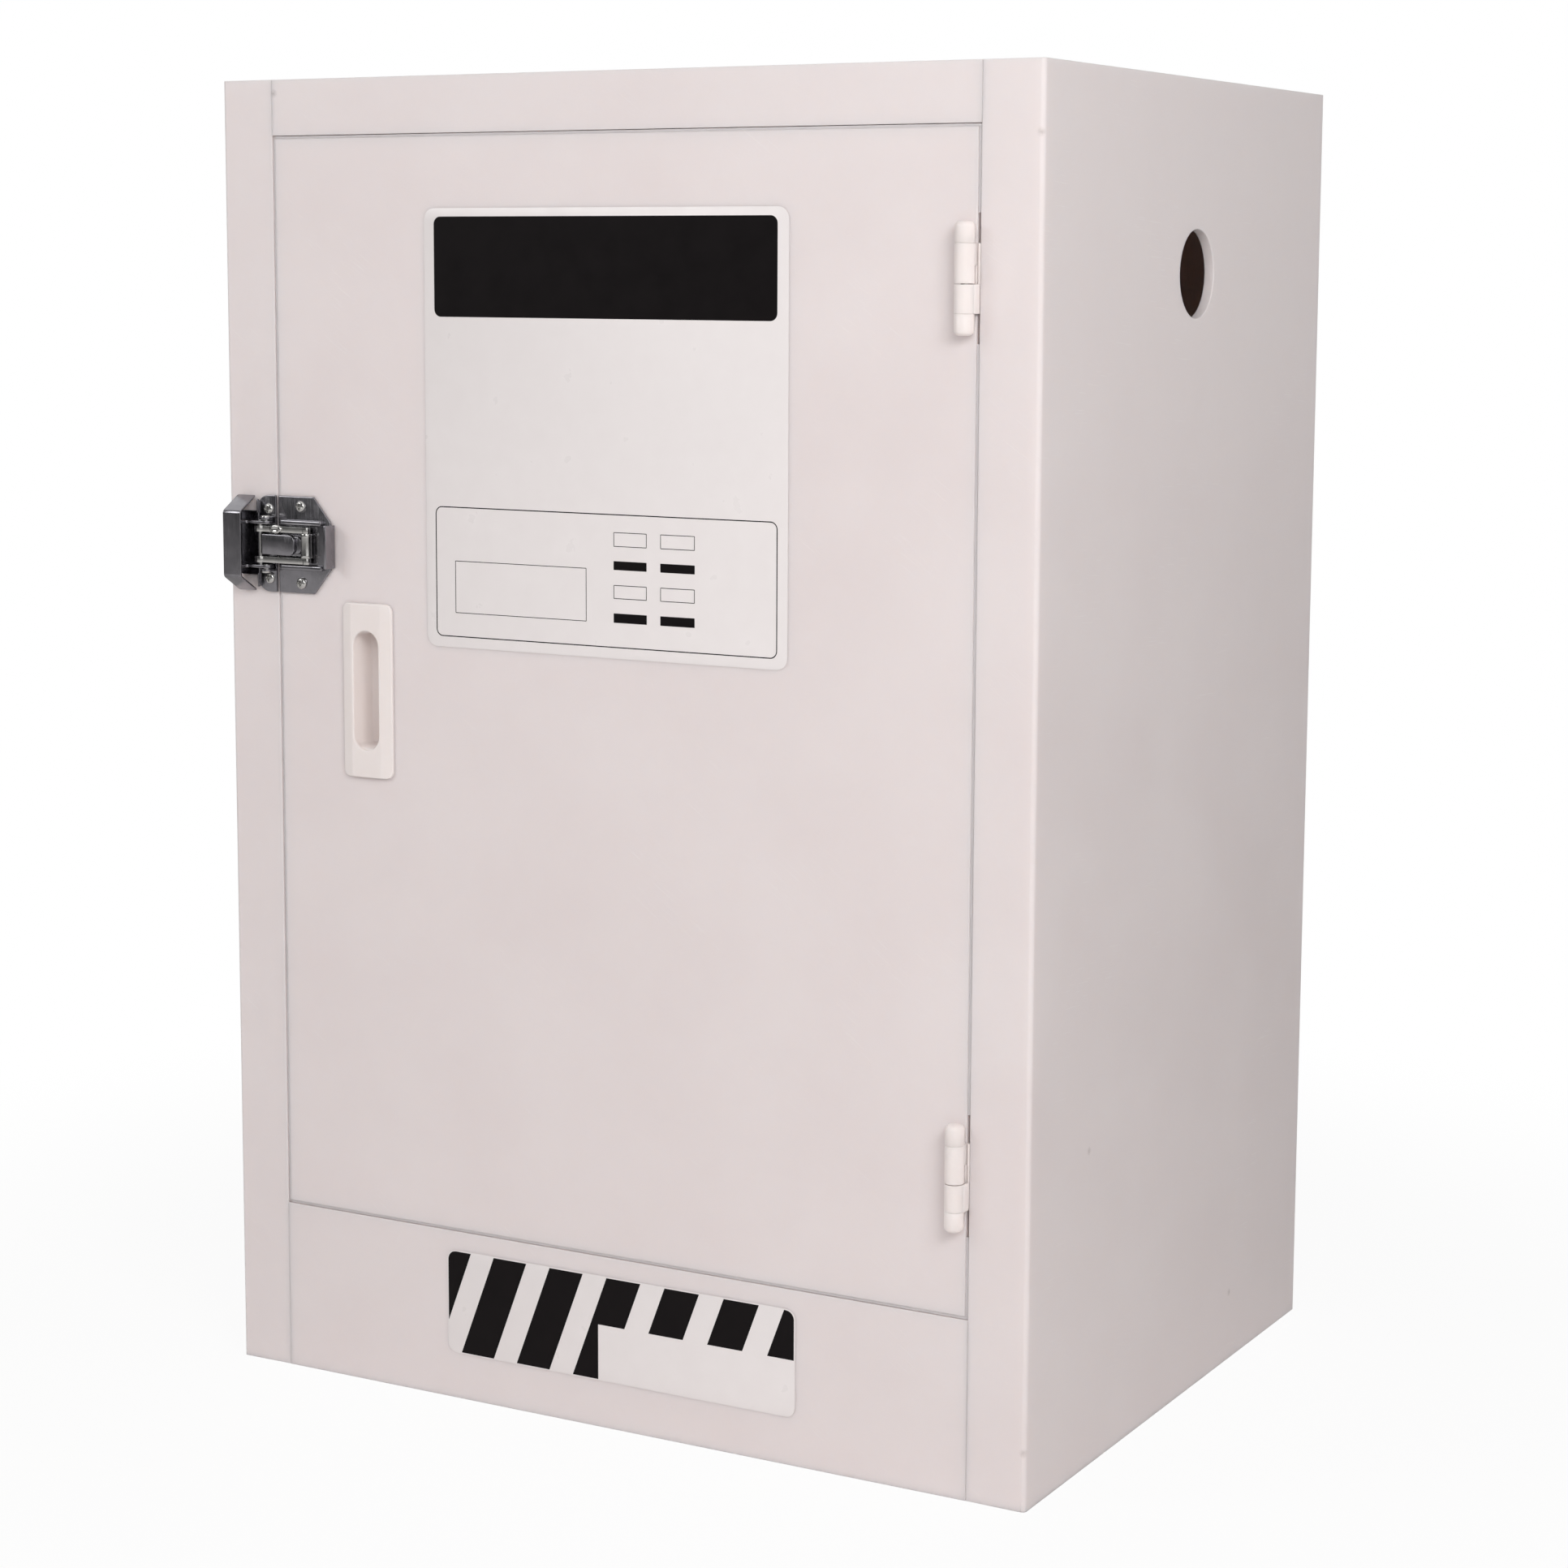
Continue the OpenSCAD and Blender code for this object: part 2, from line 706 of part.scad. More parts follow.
module latch_lever() color(steel_colour)
    at_latch() difference() {
        union() {
            difference() {
                grip_block(lever_left, lever_right, 0);
                grip_block(lever_left + lever_t, lever_right + eps, lever_t);
            }
            for (low = [lever_cheek_in, -lever_cheek_in - lever_cheek_t])
                translate([0, low + lever_cheek_t, 0]) rotate([90, 0, 0])
                    linear_extrude(lever_cheek_t) lever_cheek_plan();
        }
        upright(-pivot_in, pivot_out, rivet_d + 2 * fit, -latch_h, latch_h);
        upright(link_x, link_out, link_pin_d, -latch_h, latch_h);
    }

module link_pivot_pin() color(bright_colour)
    at_latch() upright(link_x, link_out, link_pin_d,
                       -lever_cheek_in - lever_cheek_t, lever_cheek_in + lever_cheek_t);

// Link: two arms with eyes on the lever's pin, joined by the bar in the roller
module latch_link() color(bright_colour)
    at_latch() difference() {
        union() {
            for (low = [link_half - link_arm_t / 2, -link_half - link_arm_t / 2]) {
                upright(link_x, link_out, eye_d, low, low + link_arm_t);
                upright(roller_x, link_out, link_end_d, low, low + link_arm_t);
                translate([link_x, low, link_out - link_arm_w / 2])
                    cube([link_l, link_arm_t, link_arm_w]);
            }
            upright(roller_x, link_out, link_bar_d, -link_half, link_half);
        }
        upright(link_x, link_out, link_pin_d + 2 * fit, -latch_h, latch_h);
    }

module link_roller() color(bright_colour)
    at_latch() difference() {
        half = link_half - link_arm_t / 2 - clear / 2;
        upright(roller_x, link_out, roller_d, -half, half);
        upright(roller_x, link_out, link_bar_d + 2 * fit, -half - eps, half + eps);
    }

// Plate on the door with the nose that the roller pulls on, two ridges and a tab
module keeper_outline() {
    left = door_gap / 2;
    half = latch_h / 2;
    polygon([
        [left, -half], [keeper_right - keeper_chamfer_x, -half],
        [keeper_right, -half + keeper_chamfer_z], [keeper_right, half - keeper_chamfer_z],
        [keeper_right - keeper_chamfer_x, half], [left, half]
    ]);
    translate([keeper_right - eps, -tab_h / 2]) square([eps + tab_shoulder + tab_t, tab_h]);
}

module nose_block(end, out) {
    translate([(nose_start + end) / 2, 0, 0]) linear_extrude(out)
        rounded_rect(end - nose_start, nose_h, nose_corner_r);
}

module latch_keeper() color(steel_colour)
    at_latch() difference() {
        union() {
            linear_extrude(latch_plate_t) keeper_outline();
            nose_block(nose_end - nose_step_l, nose_out);
            nose_block(nose_end, nose_out - nose_step);
            for (low = [ridge_in, -ridge_in - ridge_t])
                translate([ridge_start, low, 0]) cube([ridge_end - ridge_start, ridge_t, ridge_out]);
            translate([keeper_right + tab_shoulder, -tab_h / 2, 0]) cube([tab_t, tab_h, tab_out]);
        }
        screw_holes(keeper_screw_x, keeper_screw_z);
    }

module latch_keeper_screws() color(bright_colour)
    at_latch() for (s = [-1, 1])
        translate([keeper_screw_x, s * keeper_screw_z, latch_plate_t]) dome_screw();

// ---- Shelf and tray ----

// Open tray between two corners, with its floor and wall thicknesses
module open_tray(low, high, floor_t, wall) {
    difference() {
        span(low, high);
        span(low + [wall, wall, floor_t], high + [-wall, -wall, eps]);
    }
}

module shelf() color(pp_colour)
    open_tray([-inside_x + shelf_side_gap, inside_y + shelf_front_gap, shelf_z + rest_gap],
              [inside_x - shelf_side_gap, inside_back_y - shelf_side_gap,
               shelf_z + rest_gap + shelf_lip_h], shelf_t, tray_wall);

module sump_tray() color(pp_colour)
    open_tray([-inside_x + tray_gap, inside_y + tray_gap, wall_t + rest_gap],
              [inside_x - tray_gap, inside_back_y - tray_gap, wall_t + rest_gap + tray_h],
              tray_floor_t, tray_wall);

// ---- Labels ----

module film(x, z, w, h) {
    on_face(x, z) linear_extrude(film_t) rounded_rect(w, h, label_r);
}

module door_label() color(film_colour)
    film(door_label_x, door_top - door_label_drop - door_label_h / 2, door_label_w, door_label_h);

module stripe_label() color(film_colour)
    film(stripe_label_x, stripe_label_z + stripe_label_h / 2, stripe_label_w, stripe_label_h);

side_panel_left();
side_panel_right();
top_panel();
base_panel();
back_panel();
top_rail();
bottom_rail();
door_stop_left();
door_stop_right();
door_stop_top();
spill_dam();
shelf_ledge_left();
shelf_ledge_right();
hinge_upper_frame_leaf();
hinge_lower_frame_leaf();
hinge_upper_pin();
hinge_lower_pin();
hinge_bottom_caps();
latch_base_plate();
latch_pivot_rivets();
latch_base_screws();
stripe_label();
door_outer_sheet();
door_bar_left();
door_bar_right();
door_bar_top();
door_bar_bottom();
door_bar_cross_lower();
door_bar_cross_upper();
door_inner_sheet();
handle_plate();
hinge_upper_door_leaf();
hinge_lower_door_leaf();
hinge_top_caps();
latch_keeper();
latch_keeper_screws();
door_label();
latch_lever();
link_pivot_pin();
latch_link();
link_roller();
shelf();
sump_tray();
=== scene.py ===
"""One-door chemical storage cabinet in welded polypropylene sheet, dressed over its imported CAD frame.

Lengths in the classes are millimetres and turn to metres where a mesh is written. +Z is up, the door faces -Y and
the origin is the centre of the underside. A face point is given as (x, z, out), with out counted from the cabinet's
front face towards the viewer.
"""

from __future__ import annotations

import logging
import math
from collections.abc import Callable
from dataclasses import dataclass
from enum import Enum
from functools import cache, partial

import bmesh
import bpy
import numpy as np
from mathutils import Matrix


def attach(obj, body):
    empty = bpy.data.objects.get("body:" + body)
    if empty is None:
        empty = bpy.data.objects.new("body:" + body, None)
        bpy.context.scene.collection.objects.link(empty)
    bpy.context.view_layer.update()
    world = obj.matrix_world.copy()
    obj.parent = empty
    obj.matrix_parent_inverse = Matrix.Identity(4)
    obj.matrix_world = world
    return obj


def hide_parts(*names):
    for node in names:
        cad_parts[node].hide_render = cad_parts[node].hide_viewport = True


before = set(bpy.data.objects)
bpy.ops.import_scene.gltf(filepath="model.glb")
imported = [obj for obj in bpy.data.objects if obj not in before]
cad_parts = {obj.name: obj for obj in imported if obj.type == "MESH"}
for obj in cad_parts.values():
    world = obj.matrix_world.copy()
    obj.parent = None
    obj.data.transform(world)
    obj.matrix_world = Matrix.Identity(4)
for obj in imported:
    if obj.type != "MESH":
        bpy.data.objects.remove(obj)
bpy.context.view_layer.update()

LOG = logging.getLogger("cabinet")
MM = 0.001
FRONT_Y = -235.0

# Copies of CAD nodes: points this close are one, edges this flat go, and edges past CRISP are rounded.
WELD = 0.002 * MM
FLAT = math.radians(0.3)
CRISP = math.radians(40)
ROUNDING_FACES = 2


class Body(Enum):
    """CAD bodies that pieces ride on."""

    CABINET = "cabinet"
    DOOR = "door"
    LEVER = "latch_arm"
    HOOK = "latch_hook"
    SHELF = "shelf_unit"
    TRAY = "tray_unit"


class Slot(Enum):
    """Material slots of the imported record."""

    SHEET = "pp_sheet"
    INNER = "pp_inner"
    MOULDED = "pp_moulded"
    ZINC = "zinc_steel"
    NICKEL = "bright_steel"
    FILM = "label_film"
    INK = "label_ink"


# ---- Materials ----


def linear(colour: str) -> tuple[float, float, float, float]:
    """Turns an sRGB hex colour to linear light.

    Args:
        colour: Six hex digits after a hash.

    Returns:
        Red, green, blue and an alpha of 1.
    """
    srgb = np.array([int(colour[i:i + 2], 16) for i in (1, 3, 5)]) / 255.0
    rgb = np.where(srgb <= 0.04045, srgb / 12.92, ((srgb + 0.055) / 1.055) ** 2.4)
    return (*rgb.tolist(), 1.0)


def per_mm(size: float) -> float:
    """Texture scale at which one feature on Object coordinates is that many millimetres across."""
    return 1.0 / (size * MM)


def add_node(tree: bpy.types.NodeTree, kind: str, values: dict | None = None, links: dict | None = None,
             **settings: object) -> bpy.types.Node:
    """Adds one node with its settings and links.

    Args:
        tree: Tree that gets the node.
        kind: Blender's name of the node's type, without ShaderNode.
        values: Input socket, by name or number, to its value.
        links: Input socket, by name or number, to the output socket that feeds it, or a node for its first one.
        **settings: Properties of the node itself.

    Returns:
        The node.
    """
    node = tree.nodes.new("ShaderNode" + kind)
    for key, value in settings.items():
        setattr(node, key, value)
    for key, value in (values or {}).items():
        node.inputs[key].default_value = value
    for key, source in (links or {}).items():
        tree.links.new(getattr(source, "outputs", [source])[0], node.inputs[key])
    return node


def empty_tree(owner: bpy.types.Material | bpy.types.World) -> Callable[..., bpy.types.Node]:
    """Empties the nodes of a material or the world.

    Args:
        owner: The material or world.

    Returns:
        The function that adds a node to its tree.
    """
    owner.use_nodes = True
    owner.node_tree.nodes.clear()
    return partial(add_node, owner.node_tree)


@dataclass(frozen=True)
class Finish:
    """What every finish starts from: its name and two close colours that drift into each other."""

    name: str
    colour: str
    cloud_colour: str

    def build(self) -> bpy.types.Material:
        """Builds the material, with the shader that the finish adds.

        Returns:
            The material.
        """
        material = bpy.data.materials.new(self.name)
        add = empty_tree(material)
        shader = self._shader(add, add("TexCoord").outputs["Object"])
        add("OutputMaterial", None, {"Surface": shader})
        return material


@dataclass(frozen=True)
class Polypropylene(Finish):
    """Polypropylene, pressed flat between calender rolls or moulded.

    The rolls leave a satin skin with a fine grain, and the pigment lies in soft clouds a hand's width across.
    Handling leaves short faint scratches that are paler and a little shinier than the skin, and a few knocks leave
    small dark marks. Light sinks some millimetres into the resin, red a little farther than blue, so that narrow
    gaps look soft and the dim light inside is brown.
    """

    cloud_mm: float = 85.0
    cloud_share: float = 0.35
    grain_mm: float = 1.6
    grain_height: float = 0.05
    wave_mm: float = 120.0
    wave_height: float = 0.25
    roughness: float = 0.46
    roughness_spread: float = 0.07
    scratch_mm: float = 26.0
    scratch_width_mm: float = 0.7
    scratch_share: float = 0.2
    scratch_colour: str = "#FBF7F4"
    scratch_polish: float = 0.12
    depth_mm: float = 9.0
    depth_share: float = 0.6
    depth_reach: tuple[float, float, float] = (1.0, 0.93, 0.86)
    marks: tuple[tuple[float, float, float], ...] = ()
    mark_mm: float = 3.2
    mark_share: float = 0.75
    mark_colour: str = "#8F827D"

    def _shader(self, add: Callable[..., bpy.types.Node], at: bpy.types.NodeSocket) -> bpy.types.Node:
        """Adds the nodes, on Object coordinates, and returns the shader."""
        cloud = add("TexNoise", {"Scale": per_mm(self.cloud_mm), "Detail": 4.0, "Roughness": 0.55}, {"Vector": at})
        lift = add("MapRange", {"From Min": 0.35, "From Max": 0.7, "To Max": self.cloud_share}, {"Value": cloud})
        tint = add("Mix", {6: linear(self.colour), 7: linear(self.cloud_colour)}, {0: lift}, data_type="RGBA")
        turned = add("Mapping", {"Rotation": (0.5, 0.9, 0.35)}, {"Vector": at})
        stretched = add("Mapping",
                        {"Scale": (per_mm(self.scratch_width_mm), per_mm(self.scratch_mm), per_mm(self.scratch_mm))},
                        {"Vector": turned})
        streak = add("TexNoise", {"Scale": 1.0, "Detail": 1.0}, {"Vector": stretched})
        patch = add("TexNoise", {"Scale": per_mm(self.cloud_mm * 0.8), "Detail": 1.0}, {"Vector": turned})
        patch_share = add("MapRange", {"From Min": 0.55, "From Max": 0.68, "To Max": self.scratch_share},
                          {"Value": patch})
        line = add("MapRange", {"From Min": 0.66, "From Max": 0.72}, {"Value": streak})
        scratch = add("Math", None, {0: line, 1: patch_share}, operation="MULTIPLY")
        worn = add("Mix", {7: linear(self.scratch_colour)}, {0: scratch, 6: tint.outputs[2]}, data_type="RGBA")
        grain = add("TexNoise", {"Scale": per_mm(self.grain_mm), "Detail": 2.0}, {"Vector": at})
        skin = worn.outputs[2]
        for place in self.marks:
            apart = add("VectorMath", {1: [length * MM for length in place]}, {0: at}, operation="DISTANCE")
            near = add("MapRange", {"From Max": self.mark_mm * MM, "To Min": self.mark_share, "To Max": 0.0},
                       {"Value": apart.outputs["Value"]})
            broken = add("Math", None, {0: near, 1: grain}, operation="MULTIPLY")
            skin = add("Mix", {7: linear(self.mark_colour)}, {0: broken, 6: skin}, data_type="RGBA").outputs[2]
        wave = add("TexNoise", {"Scale": per_mm(self.wave_mm), "Detail": 1.0}, {"Vector": at})
        rough = add("MapRange",
                    {"From Min": 0.3, "From Max": 0.7, "To Min": self.roughness + self.roughness_spread,
                     "To Max": self.roughness - self.roughness_spread}, {"Value": cloud})
        smoothed = add("Math", {1: self.scratch_polish}, {0: scratch}, operation="MULTIPLY")
        roughness = add("Math", None, {0: rough, 1: smoothed}, operation="SUBTRACT")
        waved = add("Bump", {"Strength": 0.5, "Distance": self.wave_height * MM}, {"Height": wave})
        grained = add("Bump", {"Strength": 0.7, "Distance": self.grain_height * MM},
                      {"Height": grain, "Normal": waved})
        return add("BsdfPrincipled",
                   {"IOR": 1.49, "Subsurface Weight": self.depth_share, "Subsurface Scale": self.depth_mm * MM,
                    "Subsurface Radius": self.depth_reach},
                   {"Base Color": skin, "Roughness": roughness, "Normal": grained})


@dataclass(frozen=True)
class PlatedSteel(Finish):
    """Steel under a thin plating, pressed from sheet or turned from bar.

    Zinc goes on as a grey, faintly cloudy coat, and the press leaves long soft draw lines in it and shallow waves
    that bend reflections. Nickel goes on brighter and clearer, and the lathe's feed shows through it as fine rings.
    """

    roughness: float
    roughness_spread: float = 0.05
    cloud_mm: float = 7.0
    line_mm: float = 0.45
    line_length_mm: float = 14.0
    line_height: float = 0.01
    wave_mm: float = 10.0
    wave_height: float = 0.02
    dust_share: float = 0.12

    def _shader(self, add: Callable[..., bpy.types.Node], at: bpy.types.NodeSocket) -> bpy.types.Node:
        """Adds the nodes, on Object coordinates, and returns the shader."""
        cloud = add("TexNoise", {"Scale": per_mm(self.cloud_mm), "Detail": 3.0}, {"Vector": at})
        tint = add("Mix", {6: linear(self.colour), 7: linear(self.cloud_colour)}, {0: cloud}, data_type="RGBA")
        drawn = add("Mapping", {"Scale": (per_mm(self.line_mm), per_mm(self.line_mm), per_mm(self.line_length_mm))},
                    {"Vector": at})
        lines = add("TexNoise", {"Scale": 1.0, "Detail": 2.0}, {"Vector": drawn})
        dust = add("TexNoise", {"Scale": per_mm(self.cloud_mm * 2.5), "Detail": 5.0}, {"Vector": at})
        dull = add("MapRange", {"From Min": 0.5, "From Max": 0.75, "To Max": self.dust_share}, {"Value": dust})
        rough = add("MapRange",
                    {"From Min": 0.3, "From Max": 0.7, "To Min": self.roughness - self.roughness_spread,
                     "To Max": self.roughness + self.roughness_spread}, {"Value": lines})
        roughness = add("Math", None, {0: rough, 1: dull}, operation="ADD")
        wave = add("TexNoise", {"Scale": per_mm(self.wave_mm), "Detail": 1.0}, {"Vector": at})
        waved = add("Bump", {"Strength": 1.0, "Distance": self.wave_height * MM}, {"Height": wave})
        scored = add("Bump", {"Strength": 0.5, "Distance": self.line_height * MM}, {"Height": lines, "Normal": waved})
        return add("BsdfPrincipled", {"Metallic": 1.0},
                   {"Base Color": tint.outputs[2], "Roughness": roughness, "Normal": scored})


@dataclass(frozen=True)
class PrintedVinyl(Finish):
    """Self-adhesive vinyl film, cast thin and laid on by hand, or the ink screened on it.

    The film is smoother than the sheet below and follows its grain softly, with a slight orange peel of its own.
    """

    roughness: float
    roughness_spread: float = 0.05
    shine: float = 0.5
    cloud_mm: float = 18.0
    peel_mm: float = 2.2
    peel_height: float = 0.02

    def _shader(self, add: Callable[..., bpy.types.Node], at: bpy.types.NodeSocket) -> bpy.types.Node:
        """Adds the nodes, on Object coordinates, and returns the shader."""
        mottle = add("TexNoise", {"Scale": per_mm(self.cloud_mm), "Detail": 4.0}, {"Vector": at})
        tint = add("Mix", {6: linear(self.colour), 7: linear(self.cloud_colour)}, {0: mottle}, data_type="RGBA")
        peel = add("TexNoise", {"Scale": per_mm(self.peel_mm), "Detail": 2.0}, {"Vector": at})
        bump = add("Bump", {"Strength": 0.6, "Distance": self.peel_height * MM}, {"Height": peel})
        rough = add("MapRange",
                    {"From Min": 0.3, "From Max": 0.7, "To Min": self.roughness - self.roughness_spread,
                     "To Max": self.roughness + self.roughness_spread}, {"Value": mottle})
        return add("BsdfPrincipled", {"IOR": 1.5, "Specular IOR Level": self.shine},
                   {"Base Color": tint.outputs[2], "Roughness": rough, "Normal": bump})


FINISHES = {
    Slot.SHEET: Polypropylene("calendered_polypropylene_sheet", "#ECE2E1", "#E5D9D8",
                              marks=((305.0, -145.0, 210.0), (305.0, 104.0, 49.0), (303.5, -234.5, 38.0),
                                     (303.0, -235.0, 847.0), (-262.0, -235.0, 881.0))),
    Slot.INNER: Polypropylene("cut_polypropylene_sheet", "#E6DAD6", "#DCCECA", scratch_share=0.35),
    Slot.MOULDED: Polypropylene("moulded_polypropylene", "#F3EAE7", "#EDE2DE", cloud_mm=30.0, grain_height=0.015,
                                wave_height=0.05, roughness=0.34, scratch_share=0.15, depth_mm=2.5,
                                depth_share=0.3),
    Slot.ZINC: PlatedSteel("zinc_plated_pressed_steel", "#9D9B9F", "#838287", 0.2, line_height=0.004,
                            wave_mm=16.0, wave_height=0.1),
    Slot.NICKEL: PlatedSteel("nickel_plated_turned_steel", "#D6D5D2", "#BDBCBA", 0.18, cloud_mm=4.0,
                             line_length_mm=0.3, dust_share=0.06),
    Slot.FILM: PrintedVinyl("white_vinyl_film", "#F0EAE9", "#EBE4E3", 0.32),
    Slot.INK: PrintedVinyl("screened_black_ink", "#100D0E", "#161213", 0.4, shine=0.1),
}


@cache
def paint(slot: Slot) -> bpy.types.Material:
    """Builds the material of a slot, once."""
    return FINISHES[slot].build()


# ---- Meshes ----


def add_object(name: str, data: bpy.types.ID) -> bpy.types.Object:
    """Adds an object with its data to the scene and returns it."""
    obj = bpy.data.objects.new(name, data)
    bpy.context.scene.collection.objects.link(obj)
    return obj


def settle(obj: bpy.types.Object, body: Body, slot: Slot, *nodes: str) -> None:
    """Dresses a finished piece, makes it ride on its body and stand for its CAD nodes.

    Args:
        obj: The piece, with its place in its mesh.
        body: Body that it moves with.
        slot: Slot that it takes its finish from.
        *nodes: CAD nodes that it replaces.
    """
    obj.data.materials.clear()
    obj.data.materials.append(paint(slot))
    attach(obj, body.value)
    if nodes:
        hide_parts(*nodes)
    LOG.info("%s: %d faces on %s", obj.name, len(obj.data.polygons), body.value)


def softened(node: str, name: str, width: float, shortest: float = 2.0) -> bpy.types.Object:
    """Copies a CAD node with its long edges rounded, as a cut and scraped sheet has them.

    Args:
        node: The CAD node.
        name: Name of the copy.
        width: Width of the rounding in millimetres.
        shortest: Edges shorter than this, such as those round a screw hole, stay sharp.

    Returns:
        The copy.
    """
    mesh = bpy.data.meshes.new(name)
    work = bmesh.new()
    work.from_mesh(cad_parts[node].data)
    bmesh.ops.remove_doubles(work, verts=work.verts, dist=WELD)
    bmesh.ops.dissolve_limit(work, angle_limit=FLAT, verts=work.verts, edges=work.edges)
    weight = work.edges.layers.float.new("bevel_weight_edge")
    for edge in work.edges:
        crisp = edge.calc_face_angle(0.0) > CRISP
        rounded = crisp and edge.calc_length() > shortest * MM
        edge[weight] = float(rounded)
        edge.smooth = rounded or not crisp
    work.to_mesh(mesh)
    work.free()
    obj = add_object(name, mesh)
    mesh.polygons.foreach_set("use_smooth", np.ones(len(mesh.polygons), bool))
    bevel = obj.modifiers.new("rounding", "BEVEL")
    bevel.width, bevel.segments, bevel.limit_method = width * MM, ROUNDING_FACES, "WEIGHT"
    bevel.use_clamp_overlap = False
    weighted = obj.modifiers.new("normals", "WEIGHTED_NORMAL")
    weighted.keep_sharp = True
    return obj


def dress(nodes: tuple[str, ...], prefix: str, width: float, body: Body, slot: Slot, shortest: float = 2.0) -> None:
    """Lets a softened copy of each CAD node stand for it."""
    for node in nodes:
        settle(softened(node, prefix + node, width, shortest), body, slot, node)


class Lay(Enum):
    """Which of x, z and out the two axes of an outline and its thickness run along."""

    FACE = (0, 1, 2)
    UPRIGHT = (0, 2, 1)
    ACROSS = (1, 2, 0)


def laid(outline: np.ndarray, height: float | np.ndarray, lay: Lay) -> np.ndarray:
    """Places a flat outline at a height along the third axis of its lay.

    Args:
        outline: Points in the plane, one row each.
        height: One height, or one for each point.
        lay: How the plane lies.

    Returns:
        Points (x, z, out).
    """
    points = np.empty((len(outline), 3))
    points[:, lay.value[0]] = outline[:, 0]
    points[:, lay.value[1]] = outline[:, 1]
    points[:, lay.value[2]] = height
    return points


def rounded_outline(low: tuple[float, float], high: tuple[float, float], radius: float, steps: int = 8,
                    side: int = 0) -> np.ndarray:
    """Outline of a rectangle with rounded corners, against the clock.

    Each corner is a quarter circle about a centre one radius in from both sides, and the sides between the corners
    hold evenly spaced points.

    Args:
        low: Lowest corner.
        high: Highest corner.
        radius: Corner radius.
        steps: Points along each corner.
        side: Points along each side.

    Returns:
        Points, one row each.
    """
    turn = np.linspace(0, np.pi / 2, steps)
    angles = np.arange(4)[:, None] * np.pi / 2 + turn
    middle = (np.array(low) + high) / 2
    half = (np.array(high) - low) / 2 - radius
    signs = np.array([[1, 1], [-1, 1], [-1, -1], [1, -1]])[:, None]
    arcs = middle + signs * half + radius * np.stack([np.cos(angles), np.sin(angles)], 2)
    share = np.linspace(0, 1, side + 2)[1:-1, None]
    ends, starts = arcs[:, -1:], np.roll(arcs[:, :1], -1, 0)
    return np.concatenate([arcs, ends + (starts - ends) * share], 1).reshape(-1, 2)


def polygon(corners: list[tuple[float, float]], radii: float | list[float], steps: int = 6) -> np.ndarray:
    """Outline of a polygon with its corners rounded, against the clock.

    Each corner turns into an arc that touches both its sides: the arc's centre lies on the bisector, radius over the
    sine of half the corner's angle away from it.

    Args:
        corners: The polygon's corners.
        radii: One radius, or one for each corner.
        steps: Points along each arc.

    Returns:
        Points, one row each.
    """
    at = np.array(corners, float)
    reach = np.broadcast_to(np.maximum(radii, 0.03), len(at))[:, None].astype(float)
    turned = np.roll(at, -1, 0)
    if (at[:, 0] * turned[:, 1] - turned[:, 0] * at[:, 1]).sum() < 0:
        at, reach = at[::-1], reach[::-1]
    back, ahead = np.roll(at, 1, 0) - at, np.roll(at, -1, 0) - at
    back /= np.linalg.norm(back, axis=1, keepdims=True)
    ahead /= np.linalg.norm(ahead, axis=1, keepdims=True)
    half = np.arccos(np.clip((back * ahead).sum(1, keepdims=True), -1, 1)) / 2
    middle = back + ahead
    centre = at + middle / np.linalg.norm(middle, axis=1, keepdims=True) * reach / np.sin(half)
    first = at + back * reach / np.tan(half) - centre
    sign = np.sign(back[:, :1] * ahead[:, 1:] - back[:, 1:] * ahead[:, :1])
    angles = np.arctan2(first[:, 1:], first[:, :1]) - sign * (np.pi - 2 * half) * np.linspace(0, 1, steps)
    ring = centre[:, None] + reach[:, None] * np.stack([np.cos(angles), np.sin(angles)], 2)
    return ring.reshape(-1, 2)


def inset(outline: np.ndarray, distance: float) -> np.ndarray:
    """Moves an outline inwards so that every side moves by the distance.

    A point moves along the sum of its two sides' unit normals, divided by one plus their product.

    Args:
        outline: Points against the clock.
        distance: How far in, or out where it is negative.

    Returns:
        The moved points.
    """
    side = np.roll(outline, -1, 0) - outline
    side /= np.linalg.norm(side, axis=1, keepdims=True)
    after = np.stack([-side[:, 1], side[:, 0]], 1)
    before = np.roll(after, 1, 0)
    product = (after * before).sum(1, keepdims=True)
    return outline + distance * (after + before) / (1 + product)


